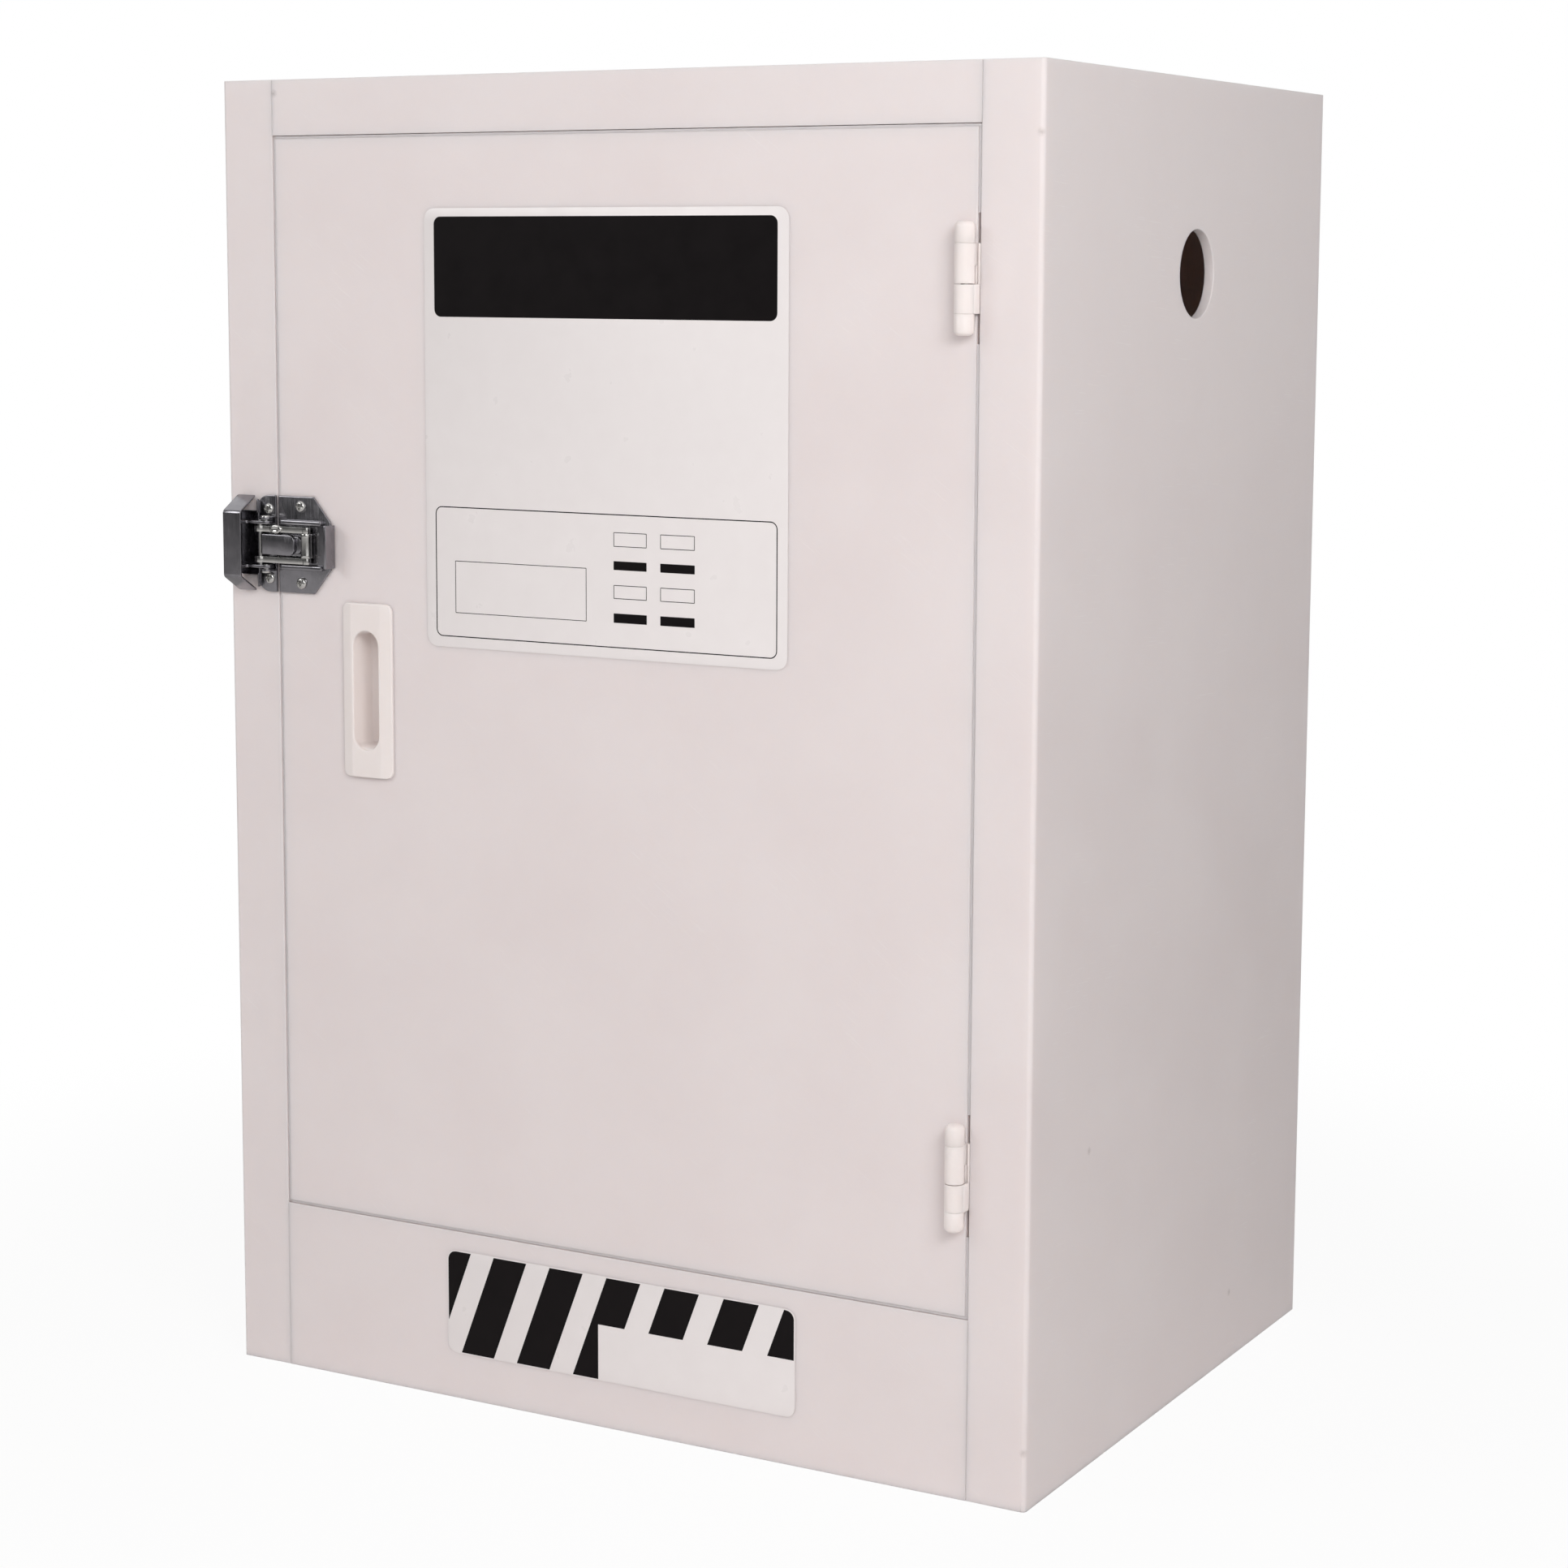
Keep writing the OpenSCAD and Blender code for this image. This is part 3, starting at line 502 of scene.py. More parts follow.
class Shape:
    """Closed skins gathered into one piece, given as (x, z, out) in millimetres from an origin on the front face."""

    def __init__(self, name: str, x: float = 0.0, z: float = 0.0) -> None:
        """Starts an empty piece.

        Args:
            name: Name of the piece.
            x: Origin across the face.
            z: Origin up the face.
        """
        self.name = name
        self.origin = np.array([x, z, 0.0])
        self.points: list[np.ndarray] = []
        self.faces: list[list[int]] = []
        self.count = 0

    def skin(self, rings: list[np.ndarray] | np.ndarray, looped: bool = False) -> None:
        """Adds a closed skin through rings of points.

        Neighbouring rings are joined by four-sided faces. The first and last ring are closed by one face each, or
        joined to each other. The volume's sign says whether the faces point outwards, and they are turned if not.

        Args:
            rings: Rings with one number of points.
            looped: Whether the last ring joins the first.
        """
        rings = np.asarray(rings, float)
        number, size = rings.shape[:2]
        index = np.arange(number * size).reshape(number, size)
        near, far = (index, np.roll(index, -1, 0)) if looped else (index[:-1], index[1:])
        quads = np.stack([near, np.roll(near, -1, 1), np.roll(far, -1, 1), far], -1).reshape(-1, 4)
        ends = [] if looped else [index[0][::-1], index[-1]]
        fans = [np.stack([np.full(size - 2, end[0]), end[1:-1], end[2:]], 1) for end in ends]
        there = rings.reshape(-1, 3) + self.origin
        place = np.stack([there[:, 0], FRONT_Y - there[:, 2], there[:, 1]], 1)
        corner = place[np.concatenate([quads[:, :3], quads[:, [0, 2, 3]], *fans])]
        volume = np.einsum("ij,ij->", corner[:, 0], np.cross(corner[:, 1], corner[:, 2]))
        turn = slice(None, None, -1 if volume < 0 else 1)
        self.faces += (quads[:, turn] + self.count).tolist() + [(end[turn] + self.count).tolist() for end in ends]
        self.points.append(place)
        self.count += len(place)

    def slab(self, outline: np.ndarray, low: float, high: float, edge: float = 0.3, lay: Lay = Lay.FACE,
             steps: int = 4) -> None:
        """Adds a plate with rounded edges.

        Args:
            outline: Points against the clock.
            low: Start of its thickness.
            high: End of its thickness.
            edge: Radius of the rounding, a quarter circle carried round the outline.
            lay: How the plate lies.
            steps: Rings along each rounding.
        """
        turn = np.linspace(0, np.pi / 2, steps)
        ins, ups = edge * (1 - np.sin(turn)), edge * (1 - np.cos(turn))
        rings = [laid(inset(outline, i), low + u, lay) for i, u in zip(ins, ups)]
        rings += [laid(inset(outline, i), high - u, lay) for i, u in zip(ins[::-1], ups[::-1])]
        self.skin(rings)

    def turned(self, profile: list[tuple[float, float]], centre: tuple[float, float], lay: Lay = Lay.FACE,
               steps: int = 48, stretch: tuple[float, float] = (1.0, 1.0)) -> None:
        """Adds a piece turned on a lathe.

        Each point of the profile, a radius and a height, is carried round the axis in a full circle.

        Args:
            profile: Radius and height of each ring, in order.
            centre: Where the axis crosses the plane.
            lay: How the plane lies; the axis runs along its third axis.
            steps: Points round the circle.
            stretch: Factors of the circle along its two axes.
        """
        angles = np.linspace(0, 2 * np.pi, steps, endpoint=False)
        circle = np.stack([np.cos(angles), np.sin(angles)], 1) * stretch
        self.skin([laid(circle * max(radius, 0.02) + centre, height, lay) for radius, height in profile])

    def build(self, sharp: float = 38.0) -> bpy.types.Object:
        """Makes the piece.

        Args:
            sharp: Edges that turn by more than this many degrees stay crisp.

        Returns:
            The object, at the origin.
        """
        mesh = bpy.data.meshes.new(self.name)
        mesh.from_pydata(np.concatenate(self.points) * MM, [], self.faces)
        mesh.polygons.foreach_set("use_smooth", np.ones(len(mesh.polygons), bool))
        mesh.set_sharp_from_angle(angle=math.radians(sharp))
        return add_object(self.name, mesh)


# ---- Sub-assemblies ----


@dataclass
class CabinetShell:
    """Welded shell: two bent sides with their stiles, rails, top, base, back and door stops."""

    sheet_edge: float = 0.7
    joint_edge: float = 0.6
    rail_edge: float = 0.35
    shortest: float = 1.0

    SHEETS = ("side_panel_left", "side_panel_right", "top_panel", "base_panel", "back_panel")
    RAILS = ("top_rail", "bottom_rail")
    STRIPS = ("door_stop_left", "door_stop_right", "door_stop_top", "spill_dam", "shelf_ledge_left",
              "shelf_ledge_right")

    def build(self) -> None:
        """Builds the sheets, the rails and the strips inside."""
        dress(self.SHEETS, "sheet_", self.joint_edge, Body.CABINET, Slot.SHEET, self.shortest)
        dress(self.RAILS, "sheet_", self.rail_edge, Body.CABINET, Slot.SHEET, self.shortest)
        dress(self.STRIPS, "strip_", self.sheet_edge, Body.CABINET, Slot.INNER)


@dataclass
class WeldBeads:
    """Fillets of welding rod along the inner corners of the shell."""

    half_width: float = 298.0
    low: float = 7.0
    high: float = 883.0
    back: float = -463.0
    front: float = -7.0
    leg: float = 2.4
    ripple: float = 0.08
    pitch: float = 6.0
    step: float = 1.5

    def _bead(self, shape: Shape, start: tuple[float, float, float], end: tuple[float, float, float],
              one: tuple[int, int, int], other: tuple[int, int, int]) -> None:
        """Adds one bead.

        Its section is a corner a little inside both walls and a slightly bulged face across it. The legs swell and
        shrink along the way as a sine of the length over the pitch, as the rod's pushes leave them.

        Args:
            shape: The piece.
            start: First end of the corner.
            end: Other end.
            one: Direction away from one wall.
            other: Direction away from the other wall.
        """
        start, end, one, other = (np.array(v, float) for v in (start, end, one, other))
        length = np.linalg.norm(end - start)
        along = np.arange(0.0, length, self.step)
        turn = np.linspace(0, np.pi / 2, 6)
        face = np.stack([np.cos(turn), np.sin(turn)], 1) ** 1.5
        section = np.concatenate([[[-0.2, -0.2], [1.0, -0.2]], face, [[-0.2, 1.0]]])
        swell = self.leg * (1 + self.ripple * np.sin(2 * np.pi * along / self.pitch))
        reach = np.where(section < 0, section, section * swell[:, None, None])
        rings = start + (end - start) / length * along[:, None, None] + reach[..., :1] * one + reach[..., 1:] * other
        shape.skin(rings)

    def build(self) -> None:
        """Builds the beads of the back, the top and the base."""
        shape = Shape("welded_corner_beads")
        for side in (-1, 1):
            x = side * self.half_width
            self._bead(shape, (x, self.low, self.back), (x, self.high, self.back), (-side, 0, 0), (0, 0, 1))
            for level, up in ((self.low, 1), (self.high, -1)):
                self._bead(shape, (x, level, self.back), (x, level, self.front), (-side, 0, 0), (0, up, 0))
        for level, up in ((self.low, 1), (self.high, -1)):
            self._bead(shape, (-self.half_width, level, self.back), (self.half_width, level, self.back),
                       (0, up, 0), (0, 0, 1))
        settle(shape.build(60.0), Body.CABINET, Slot.INNER)


@dataclass
class DoorLeaf:
    """Door: two sheets welded on a ladder of bars."""

    edge: float = 0.8
    bar_edge: float = 0.4
    low: tuple[float, float] = (-262.0, 119.0)
    high: tuple[float, float] = (262.0, 851.0)
    lip: float = 1.6
    lip_back: float = 2.6
    lip_front: float = 0.9
    lip_hold: float = 0.3
    lip_edge: float = 0.3
    lip_corner: float = 0.35
    lip_spans: tuple[tuple[float, float], ...] = ((119.0, 170.0), (248.0, 722.0), (800.0, 851.0))

    BARS = ("door_bar_left", "door_bar_right", "door_bar_top", "door_bar_bottom", "door_bar_cross_lower",
            "door_bar_cross_upper")

    def build(self) -> None:
        """Builds the two sheets, the bars and the lip."""
        dress(("door_outer_sheet", "door_inner_sheet"), "sheet_", self.edge, Body.DOOR, Slot.SHEET)
        dress(self.BARS, "strip_", self.bar_edge, Body.DOOR, Slot.INNER)
        self._lip()

    def _lip(self) -> None:
        """Builds the narrow lip that closes most of the gap a little way in and leaves the hinges free."""
        shape = Shape("sheet_edge_lip")
        (left, bottom), (right, top) = self.low, self.high
        hold = self.lip_hold
        strips = [((left - self.lip, bottom - self.lip), (left + hold, top + self.lip))]
        strips += [((left - self.lip, z), (right + self.lip, z + self.lip + hold))
                   for z in (top - hold, bottom - self.lip)]
        strips += [((right - hold, low), (right + self.lip, high)) for low, high in self.lip_spans]
        for low, high in strips:
            outline = rounded_outline(low, high, self.lip_corner, 4)
            shape.slab(outline, -self.lip_back, -self.lip_front, self.lip_edge)
        settle(shape.build(), Body.DOOR, Slot.SHEET)


@dataclass
class BarrelHinge:
    """White barrel hinge: two knuckles, two rounded caps, a steel pin and two leaves let into the door gap."""

    level: str
    foot: float
    axis_x: float = 257.0
    axis_out: float = 6.6
    radius: float = 6.2
    height: float = 68.0
    cap: float = 13.0
    cap_round: float = 3.1
    split: float = 30.5
    gap: float = 0.5
    joint: float = 0.3
    leaf: float = 1.4
    leaf_depth: float = 24.0
    frame_edge: float = 7.0
    door_edge: float = 5.0
    web: float = 13.2
    pin_radius: float = 2.5
    pin_short: float = 0.4

    def build(self) -> None:
        """Builds the pieces of both sides and the pin."""
        top = self.height - self.cap
        frame_side = Shape(f"frame_knuckle_{self.level}", self.axis_x, self.foot)
        self._barrel(frame_side, self.cap, self.split)
        neck = [(0.0, -self.leaf / 2), (self.frame_edge - self.leaf, -self.leaf / 2),
                (self.frame_edge - self.leaf, -self.axis_out - 1), (self.frame_edge, -self.axis_out - 1),
                (self.frame_edge, self.leaf / 2), (0.0, self.leaf / 2)]
        bent = polygon(neck, [0.25, 0.3, 0.25, 0.25, 1.5, 0.25]) + (0.0, self.axis_out)
        frame_side.slab(bent, self.cap, self.split, 0.2, Lay.UPRIGHT)
        self._leaf(frame_side, self.frame_edge, self.cap, top, 0.0)
        settle(frame_side.build(), Body.CABINET, Slot.MOULDED, f"hinge_{self.level}_frame_leaf")

        door_side = Shape(f"door_knuckle_{self.level}", self.axis_x, self.foot)
        self._barrel(door_side, self.split + self.gap, top)
        self._leaf(door_side, self.door_edge, self.cap, top, 0.0)
        self._leaf(door_side, self.door_edge, top - self.web, top, self.axis_out)
        settle(door_side.build(), Body.DOOR, Slot.MOULDED, f"hinge_{self.level}_door_leaf")

        pin = Shape(f"turned_pin_{self.level}", self.axis_x, self.foot)
        radius = self.pin_radius
        pin.turned([(radius - 0.4, self.cap), (radius, self.cap + 0.4), (radius, top - self.pin_short - 0.4),
                    (radius - 0.4, top - self.pin_short)], (0.0, self.axis_out), Lay.UPRIGHT)
        settle(pin.build(), Body.CABINET, Slot.NICKEL, f"hinge_{self.level}_pin")

    def cap_on(self, shape: Shape, upper: bool) -> None:
        """Adds one cap to a piece that holds the caps of both hinges.

        Args:
            shape: The piece, with its origin at the origin of the frame.
            upper: Whether it is the cap at the barrel's upper end.
        """
        turn = np.linspace(0, np.pi / 2, 9)
        across = self.radius - self.cap_round * (1 - np.cos(turn))
        along = self.cap - self.cap_round * (1 - np.sin(turn))
        profile = [(self.radius - self.joint, 0.02), (self.radius, self.joint)] + list(zip(across, along))
        profile += [(self.radius * 0.2, self.cap)]
        base, sign = (self.foot + self.height - self.cap, 1.0) if upper else (self.foot + self.cap, -1.0)
        shape.turned([(radius, base + sign * height) for radius, height in profile],
                     (self.axis_x, self.axis_out), Lay.UPRIGHT, 64)

    def _barrel(self, shape: Shape, low: float, high: float) -> None:
        """Adds a knuckle with its ends eased, so that a fine line shows at each joint."""
        radius, ease = self.radius, self.joint
        shape.turned([(radius - ease, low + 0.02), (radius, low + ease), (radius, high - ease),
                      (radius - ease, high - 0.02)], (0.0, self.axis_out), Lay.UPRIGHT, 64)

    def _leaf(self, shape: Shape, edge: float, low: float, high: float, out: float) -> None:
        """Adds an upright strip of leaf whose right side lies at edge, from behind the face out to a height."""
        back = -self.leaf_depth if out == 0.0 else -0.5
        shape.slab(rounded_outline((edge - self.leaf, back), (edge, out), 0.25, 3), low, high, 0.2, Lay.UPRIGHT)


@dataclass
class FlushPull:
    """Moulded pull: a plate with bevelled long sides, a finger slot and the cup behind it."""

    x: float = -189.0
    z: float = 483.0
    half_width: float = 20.0
    half_height: float = 59.0
    corner: float = 5.0
    band: float = 12.0
    band_out: float = 4.0
    edge_out: float = 2.0
    slot_radius: float = 10.25
    slot_straight: float = 30.25
    cup_half: float = 38.0
    cup_depth: float = 17.0
    wall: float = 2.0
    rim: float = 0.7
    crease: float = 0.05
    throat: float = 9.0
    floor_edge: float = 1.5
    boxy: int = 8

    def _section(self, across: np.ndarray) -> np.ndarray:
        """Height of the plate's front: level over the band, then falling to the long edges past a soft crease."""
        past = np.abs(across) - self.band
        slope = (self.band_out - self.edge_out) / (self.half_width - self.band)
        return self.band_out - slope * 0.5 * (past + np.sqrt(past ** 2 + self.crease))

    def _ring(self, plate: np.ndarray, radius: float, end: float, power: float) -> np.ndarray:
        """Carries the plate's outline in to a slot or cup.

        Each point turns to its direction from the slot's middle line, divided by the norm of that power: 2 gives a
        half circle at each end, and 8 a box with rounded corners.

        Args:
            plate: The plate's outline.
            radius: Half width of the slot.
            end: Reach of each end past the straight sides.
            power: Power of the norm.

        Returns:
            A ring with as many points.
        """
        middle = np.clip(plate[:, 1], -self.slot_straight, self.slot_straight)
        way = np.stack([plate[:, 0], plate[:, 1] - middle], 1)
        way /= (np.abs(way) ** power).sum(1, keepdims=True) ** (1 / power)
        return way * (radius, end) + np.stack([np.zeros(len(plate)), middle], 1)

    def build(self) -> None:
        """Builds the pull."""
        plate = rounded_outline((-self.half_width, -self.half_height), (self.half_width, self.half_height),
                                self.corner, 12, 26)
        cup_end = self.cup_half - self.slot_straight
        slot = self._ring(plate, self.slot_radius, self.slot_radius, 2)
        lip = self._ring(plate, self.slot_radius + self.rim, self.slot_radius + self.rim, 2)
        cup = self._ring(plate, self.slot_radius, cup_end, self.boxy)
        shell = self._ring(plate, self.slot_radius + self.wall, cup_end + self.wall, self.boxy)
        turn = np.linspace(0, np.pi / 2, 5)
        rings = [laid(shell, -self.cup_depth - self.wall, Lay.FACE), laid(shell, -0.3, Lay.FACE),
                 laid(inset(plate, 0.2), 0.0, Lay.FACE), laid(plate, 0.0, Lay.FACE)]
        for angle in turn:
            inner = inset(plate, self.rim * (1 - math.cos(angle)))
            drop = self.rim * (1 - math.sin(angle))
            rings.append(laid(inner, self._section(inner[:, 0]) - drop, Lay.FACE))
        start = inset(plate, self.rim)
        for share in np.linspace(0, 1, 22)[1:]:
            ring = start + (lip - start) * share
            rings.append(laid(ring, self._section(ring[:, 0]), Lay.FACE))
        for angle in turn[1:]:
            ring = lip + (slot - lip) * math.sin(angle)
            rings.append(laid(ring, self._section(lip[:, 0]) - self.rim * (1 - math.cos(angle)), Lay.FACE))
        for share in np.linspace(0, 1, 8):
            rings.append(laid(slot + (cup - slot) * share, 0.8 - self.throat * share ** 2, Lay.FACE))
        floor = self._ring(plate, self.slot_radius - self.floor_edge, cup_end - self.floor_edge, self.boxy)
        for angle in turn:
            ring = cup + (floor - cup) * (1 - math.cos(angle))
            rings.append(laid(ring, -self.cup_depth + self.floor_edge * (1 - math.sin(angle)), Lay.FACE))
        rings.append(laid(self._ring(plate, 2.0, 1.0, self.boxy), -self.cup_depth, Lay.FACE))
        shape = Shape("moulded_pull", self.x, self.z)
        shape.skin(rings)
        settle(shape.build(50.0), Body.DOOR, Slot.MOULDED, "handle_plate")


@dataclass
class DrawLatch:
    """Over-centre draw latch, measured across, up and out from the middle of the door gap."""

    x: float = -263.0
    z: float = 579.0
    plate: float = 2.0
    pivot: tuple[float, float] = (-5.0, 8.0)
    link_pin: tuple[float, float] = (-11.0, 6.5)
    roller: tuple[float, float] = (28.0, 6.5)

    def build(self) -> None:
        """Builds the plate on the stile, the lever, the link, the keeper and every screw, rivet and pin."""
        self._base()
        self._lever()
        self._link()
        self._keeper()
        self._screws("keeper_screw_pair", 20.3, 26.0, Body.DOOR, "latch_keeper_screws")
        self._screws("base_screw_pair", -6.5, 23.5, Body.CABINET, "latch_base_screws")
        self._pins()

    def _shape(self, name: str) -> Shape:
        """Starts a piece at the latch."""
        return Shape(name, self.x, self.z)

    def _base(self) -> None:
        """Builds the plate on the stile with its ears and the fine lip along its left side."""
        shape = self._shape("pressed_base_plate")
        corners = [(-1, -33), (-1, 33), (-17, 33), (-17, 22), (-32, 22), (-32, -22), (-17, -22), (-17, -33)]
        shape.slab(polygon(corners, [0.6, 0.6, 10, 0.6, 2, 2, 0.6, 10], 9), 0.0, self.plate, 0.5)
        shape.slab(rounded_outline((-16.4, -30), (-15.2, 30), 0.55, 4), self.plate - 0.5, self.plate + 0.6, 0.4)
        for low in (20.5, -30.0):
            shape.slab(rounded_outline((-16.3, low), (-15.3, low + 9.5), 0.45, 4), self.plate, 3.6, 0.4)
        ear = polygon([(-9, 0.6), (-1, 0.6), (-1, 12), (-9, 12)], [0.4, 0.4, 3.95, 3.95], 10)
        for low in (17.0, -18.5):
            shape.slab(ear, low, low + 1.5, 0.3, Lay.UPRIGHT)
        settle(shape.build(), Body.CABINET, Slot.ZINC, "latch_base_plate")

    def _lever(self) -> None:
        """Builds the lever: a boxed grip open towards the door, and two cheeks that reach the rivets."""
        shape = self._shape("pressed_lever")
        outer = [(-33, 2.4), (-22.5, 19.5), (22.5, 19.5), (33, 2.4)]
        inner = [(31.24, 2.4), (21.66, 18.0), (-21.66, 18.0), (-31.24, 2.4)]
        bent = polygon(outer + inner, [0.5, 3.4, 3.4, 0.5, 0.5, 1.9, 1.9, 0.5], 9)
        shape.slab(bent, -32.2, -18.0, 0.4, Lay.ACROSS)
        shape.slab(polygon(outer, [0.8, 3.4, 3.4, 0.8], 9), -33.0, -31.4, 0.75, Lay.ACROSS)
        cheek = polygon([(-0.5, 12.5), (-18, 12.5), (-18, 18.6), (-32.2, 18.6), (-32.2, 2.8), (-0.5, 2.8)],
                        [4.4, 1.5, 0.4, 0.4, 0.4, 4.4], 9)
        for low in (14.0, -16.0):
            shape.slab(cheek, low, low + 2.0, 0.35, Lay.UPRIGHT)
        settle(shape.build(), Body.LEVER, Slot.ZINC, "latch_lever")

    def _link(self) -> None:
        """Builds the link's two arms, the bar between them, the stud on the upper arm and the roller."""
        shape = self._shape("turned_link")
        pin, end = self.link_pin[0], self.roller[0]
        reach = (1 - np.cos(np.linspace(0, np.pi, 90))) / 2
        along = pin - 3.79 + (end - pin + 3.79 + 2.79) * reach
        eye = np.sqrt(np.maximum(3.8 ** 2 - (along - pin) ** 2, 0.01))
        tip = np.sqrt(np.maximum(2.8 ** 2 - (along - end) ** 2, 0.01))
        bar = np.where((along > pin) & (along < end), 1.8, 0.01)
        half = np.maximum(np.maximum(eye, tip), bar)
        arm = np.concatenate([np.stack([along, self.roller[1] - half], 1),
                              np.stack([along, self.roller[1] + half], 1)[::-1]])
        for low in (8.5, -12.5):
            shape.slab(arm, low, low + 4.0, 0.02, Lay.UPRIGHT)
        shape.turned([(1.6, -10.5), (1.6, 10.5)], self.roller, Lay.UPRIGHT)
        stud = [(3.0, 7.6), (3.0, 8.9), (2.8, 9.25), (2.3, 9.5), (1.4, 9.5), (1.1, 9.3), (0.4, 9.25)]
        shape.turned(stud, (3.5, 10.5), Lay.FACE, 48, (1.6, 1.0))
        settle(shape.build(), Body.HOOK, Slot.NICKEL, "latch_link")
        roller = self._shape("turned_roller")
        half_roller = [(3.2, 8.3), (4.0, 8.1), (4.1, 7.8), (4.1, 6.9), (3.75, 6.6), (3.7, 6.2)]
        roller.turned(half_roller + [(radius, -height) for radius, height in half_roller[::-1]], self.roller,
                      Lay.UPRIGHT)
        settle(roller.build(), Body.HOOK, Slot.NICKEL, "link_roller")

    def _keeper(self) -> None:
        """Builds the keeper: eight-sided plate, stepped nose, two ridges and the tab bent up at its far side."""
        shape = self._shape("pressed_keeper")
        plate = [(1, -33), (30.5, -33), (44.5, -16), (44.5, 16), (30.5, 33), (1, 33)]
        shape.slab(polygon(plate, [0.9, 1.5, 1.5, 1.5, 1.5, 0.9]), 0.0, self.plate, 0.8, steps=5)
        shape.slab(polygon([(2, -6.3), (18.9, -6.3), (18.9, 6.3), (2, 6.3)], [0.7, 4.2, 4.2, 0.7], 9),
                   1.5, 9.2, 0.5)
        shape.slab(polygon([(-8, -7), (19.4, -7), (19.4, 7), (-8, 7)], [0.7, 4.7, 4.7, 0.7], 9), 7.4, 9.5, 0.6)
        shape.slab(rounded_outline((3, -5.9), (23.4, 5.9), 3.5), 1.5, 7.0, 0.5)
        for low in (13.5, -17.0):
            shape.slab(rounded_outline((5, low), (39.5, low + 3.5), 1.2, 5), 1.5, 6.0, 1.0)
        tab = [(41.0, 0.1), (48.0, 0.1), (48.0, 12.0), (46.0, 12.0), (46.0, 2.0), (41.0, 2.0)]
        shape.slab(polygon(tab, [0.45, 2.2, 0.5, 0.5, 0.5, 0.45], 8), -14.5, 14.5, 0.4, Lay.UPRIGHT)
        settle(shape.build(), Body.DOOR, Slot.ZINC, "latch_keeper")

    def _screws(self, name: str, x: float, z: float, body: Body, node: str) -> None:
        """Builds a pair of pan-head screws with a cross recess.

        The head is a polar grid: its height is its full height times the square root of one less the fourth power of
        the radius over the head's, less the recess where a point lies in one of the cross's two bars.

        Args:
            name: Name of the piece.
            x: Place across the face.
            z: Distance above and below the latch's middle.
            body: Body that holds the screws.
            node: CAD node that they replace.
        """
        shape = self._shape(name)
        angles = np.linspace(0, 2 * np.pi, 96, endpoint=False)
        radii = np.concatenate([np.linspace(0.03, 2.5, 22), 4.0 - 1.4 * np.linspace(1, 0, 10) ** 2])
        circle = np.stack([np.cos(angles), np.sin(angles)], 1)
        for side in (z, -z):
            rings = [laid(circle * 2.2 + (x, side), -5.0, Lay.FACE), laid(circle * 2.2 + (x, side), 1.9, Lay.FACE),
                     laid(circle * 4.0 + (x, side), 1.9, Lay.FACE)]
            for radius in radii[::-1]:
                flat = circle * radius
                narrow, wide = np.abs(flat).min(1), np.abs(flat).max(1)
                cut = np.clip((0.75 - narrow) / 0.2, 0, 1) * np.clip((2.4 - wide) / 0.3, 0, 1)
                dome = 2.3 * math.sqrt(1.0 - (radius / 4.0) ** 4)
                rings.append(laid(flat + (x, side), self.plate + dome - 1.4 * cut, Lay.FACE))
            shape.skin(rings)
        settle(shape.build(), body, Slot.NICKEL, node)

    def _pins(self) -> None:
        """Builds the two rivets that carry the lever and the pin that carries the link."""
        rivets = self._shape("rivet_pair")
        for sign in (1, -1):
            profile = [(2.0, 13.7), (2.0, 18.4), (3.5, 18.45), (3.5, 18.9), (3.2, 19.35), (2.4, 19.65), (0.3, 19.7)]
            rivets.turned([(radius, sign * height) for radius, height in profile], self.pivot, Lay.UPRIGHT)
        settle(rivets.build(), Body.CABINET, Slot.NICKEL, "latch_pivot_rivets")
        pin = self._shape("link_pin")
        pin.turned([(1.2, -16.3), (1.5, -16.0), (1.5, 16.0), (1.2, 16.3)], self.link_pin, Lay.UPRIGHT)
        settle(pin.build(), Body.LEVER, Slot.NICKEL, "link_pivot_pin")


@dataclass
class Label:
    """White film with rounded corners and ink screened on it."""

    low: tuple[float, float]
    high: tuple[float, float]
    corner: float
    film: float = 0.3
    ink: float = 0.03
    sink: float = 0.05
    film_edge: float = 0.12

    def _film(self, name: str, body: Body, node: str) -> None:
        """Builds the film."""
        film = Shape(name)
        film.slab(rounded_outline(self.low, self.high, self.corner), 0.0, self.film, self.film_edge, steps=3)
        settle(film.build(), body, Slot.FILM, node)

    def _ink(self, name: str, outlines: list[np.ndarray]) -> Shape:
        """Lays inked areas on the film, each with its thickness."""
        shape = Shape(name)
        for outline in outlines:
            shape.skin([laid(outline, height, Lay.FACE) for height in (self.film - self.sink, self.film + self.ink)])
        return shape


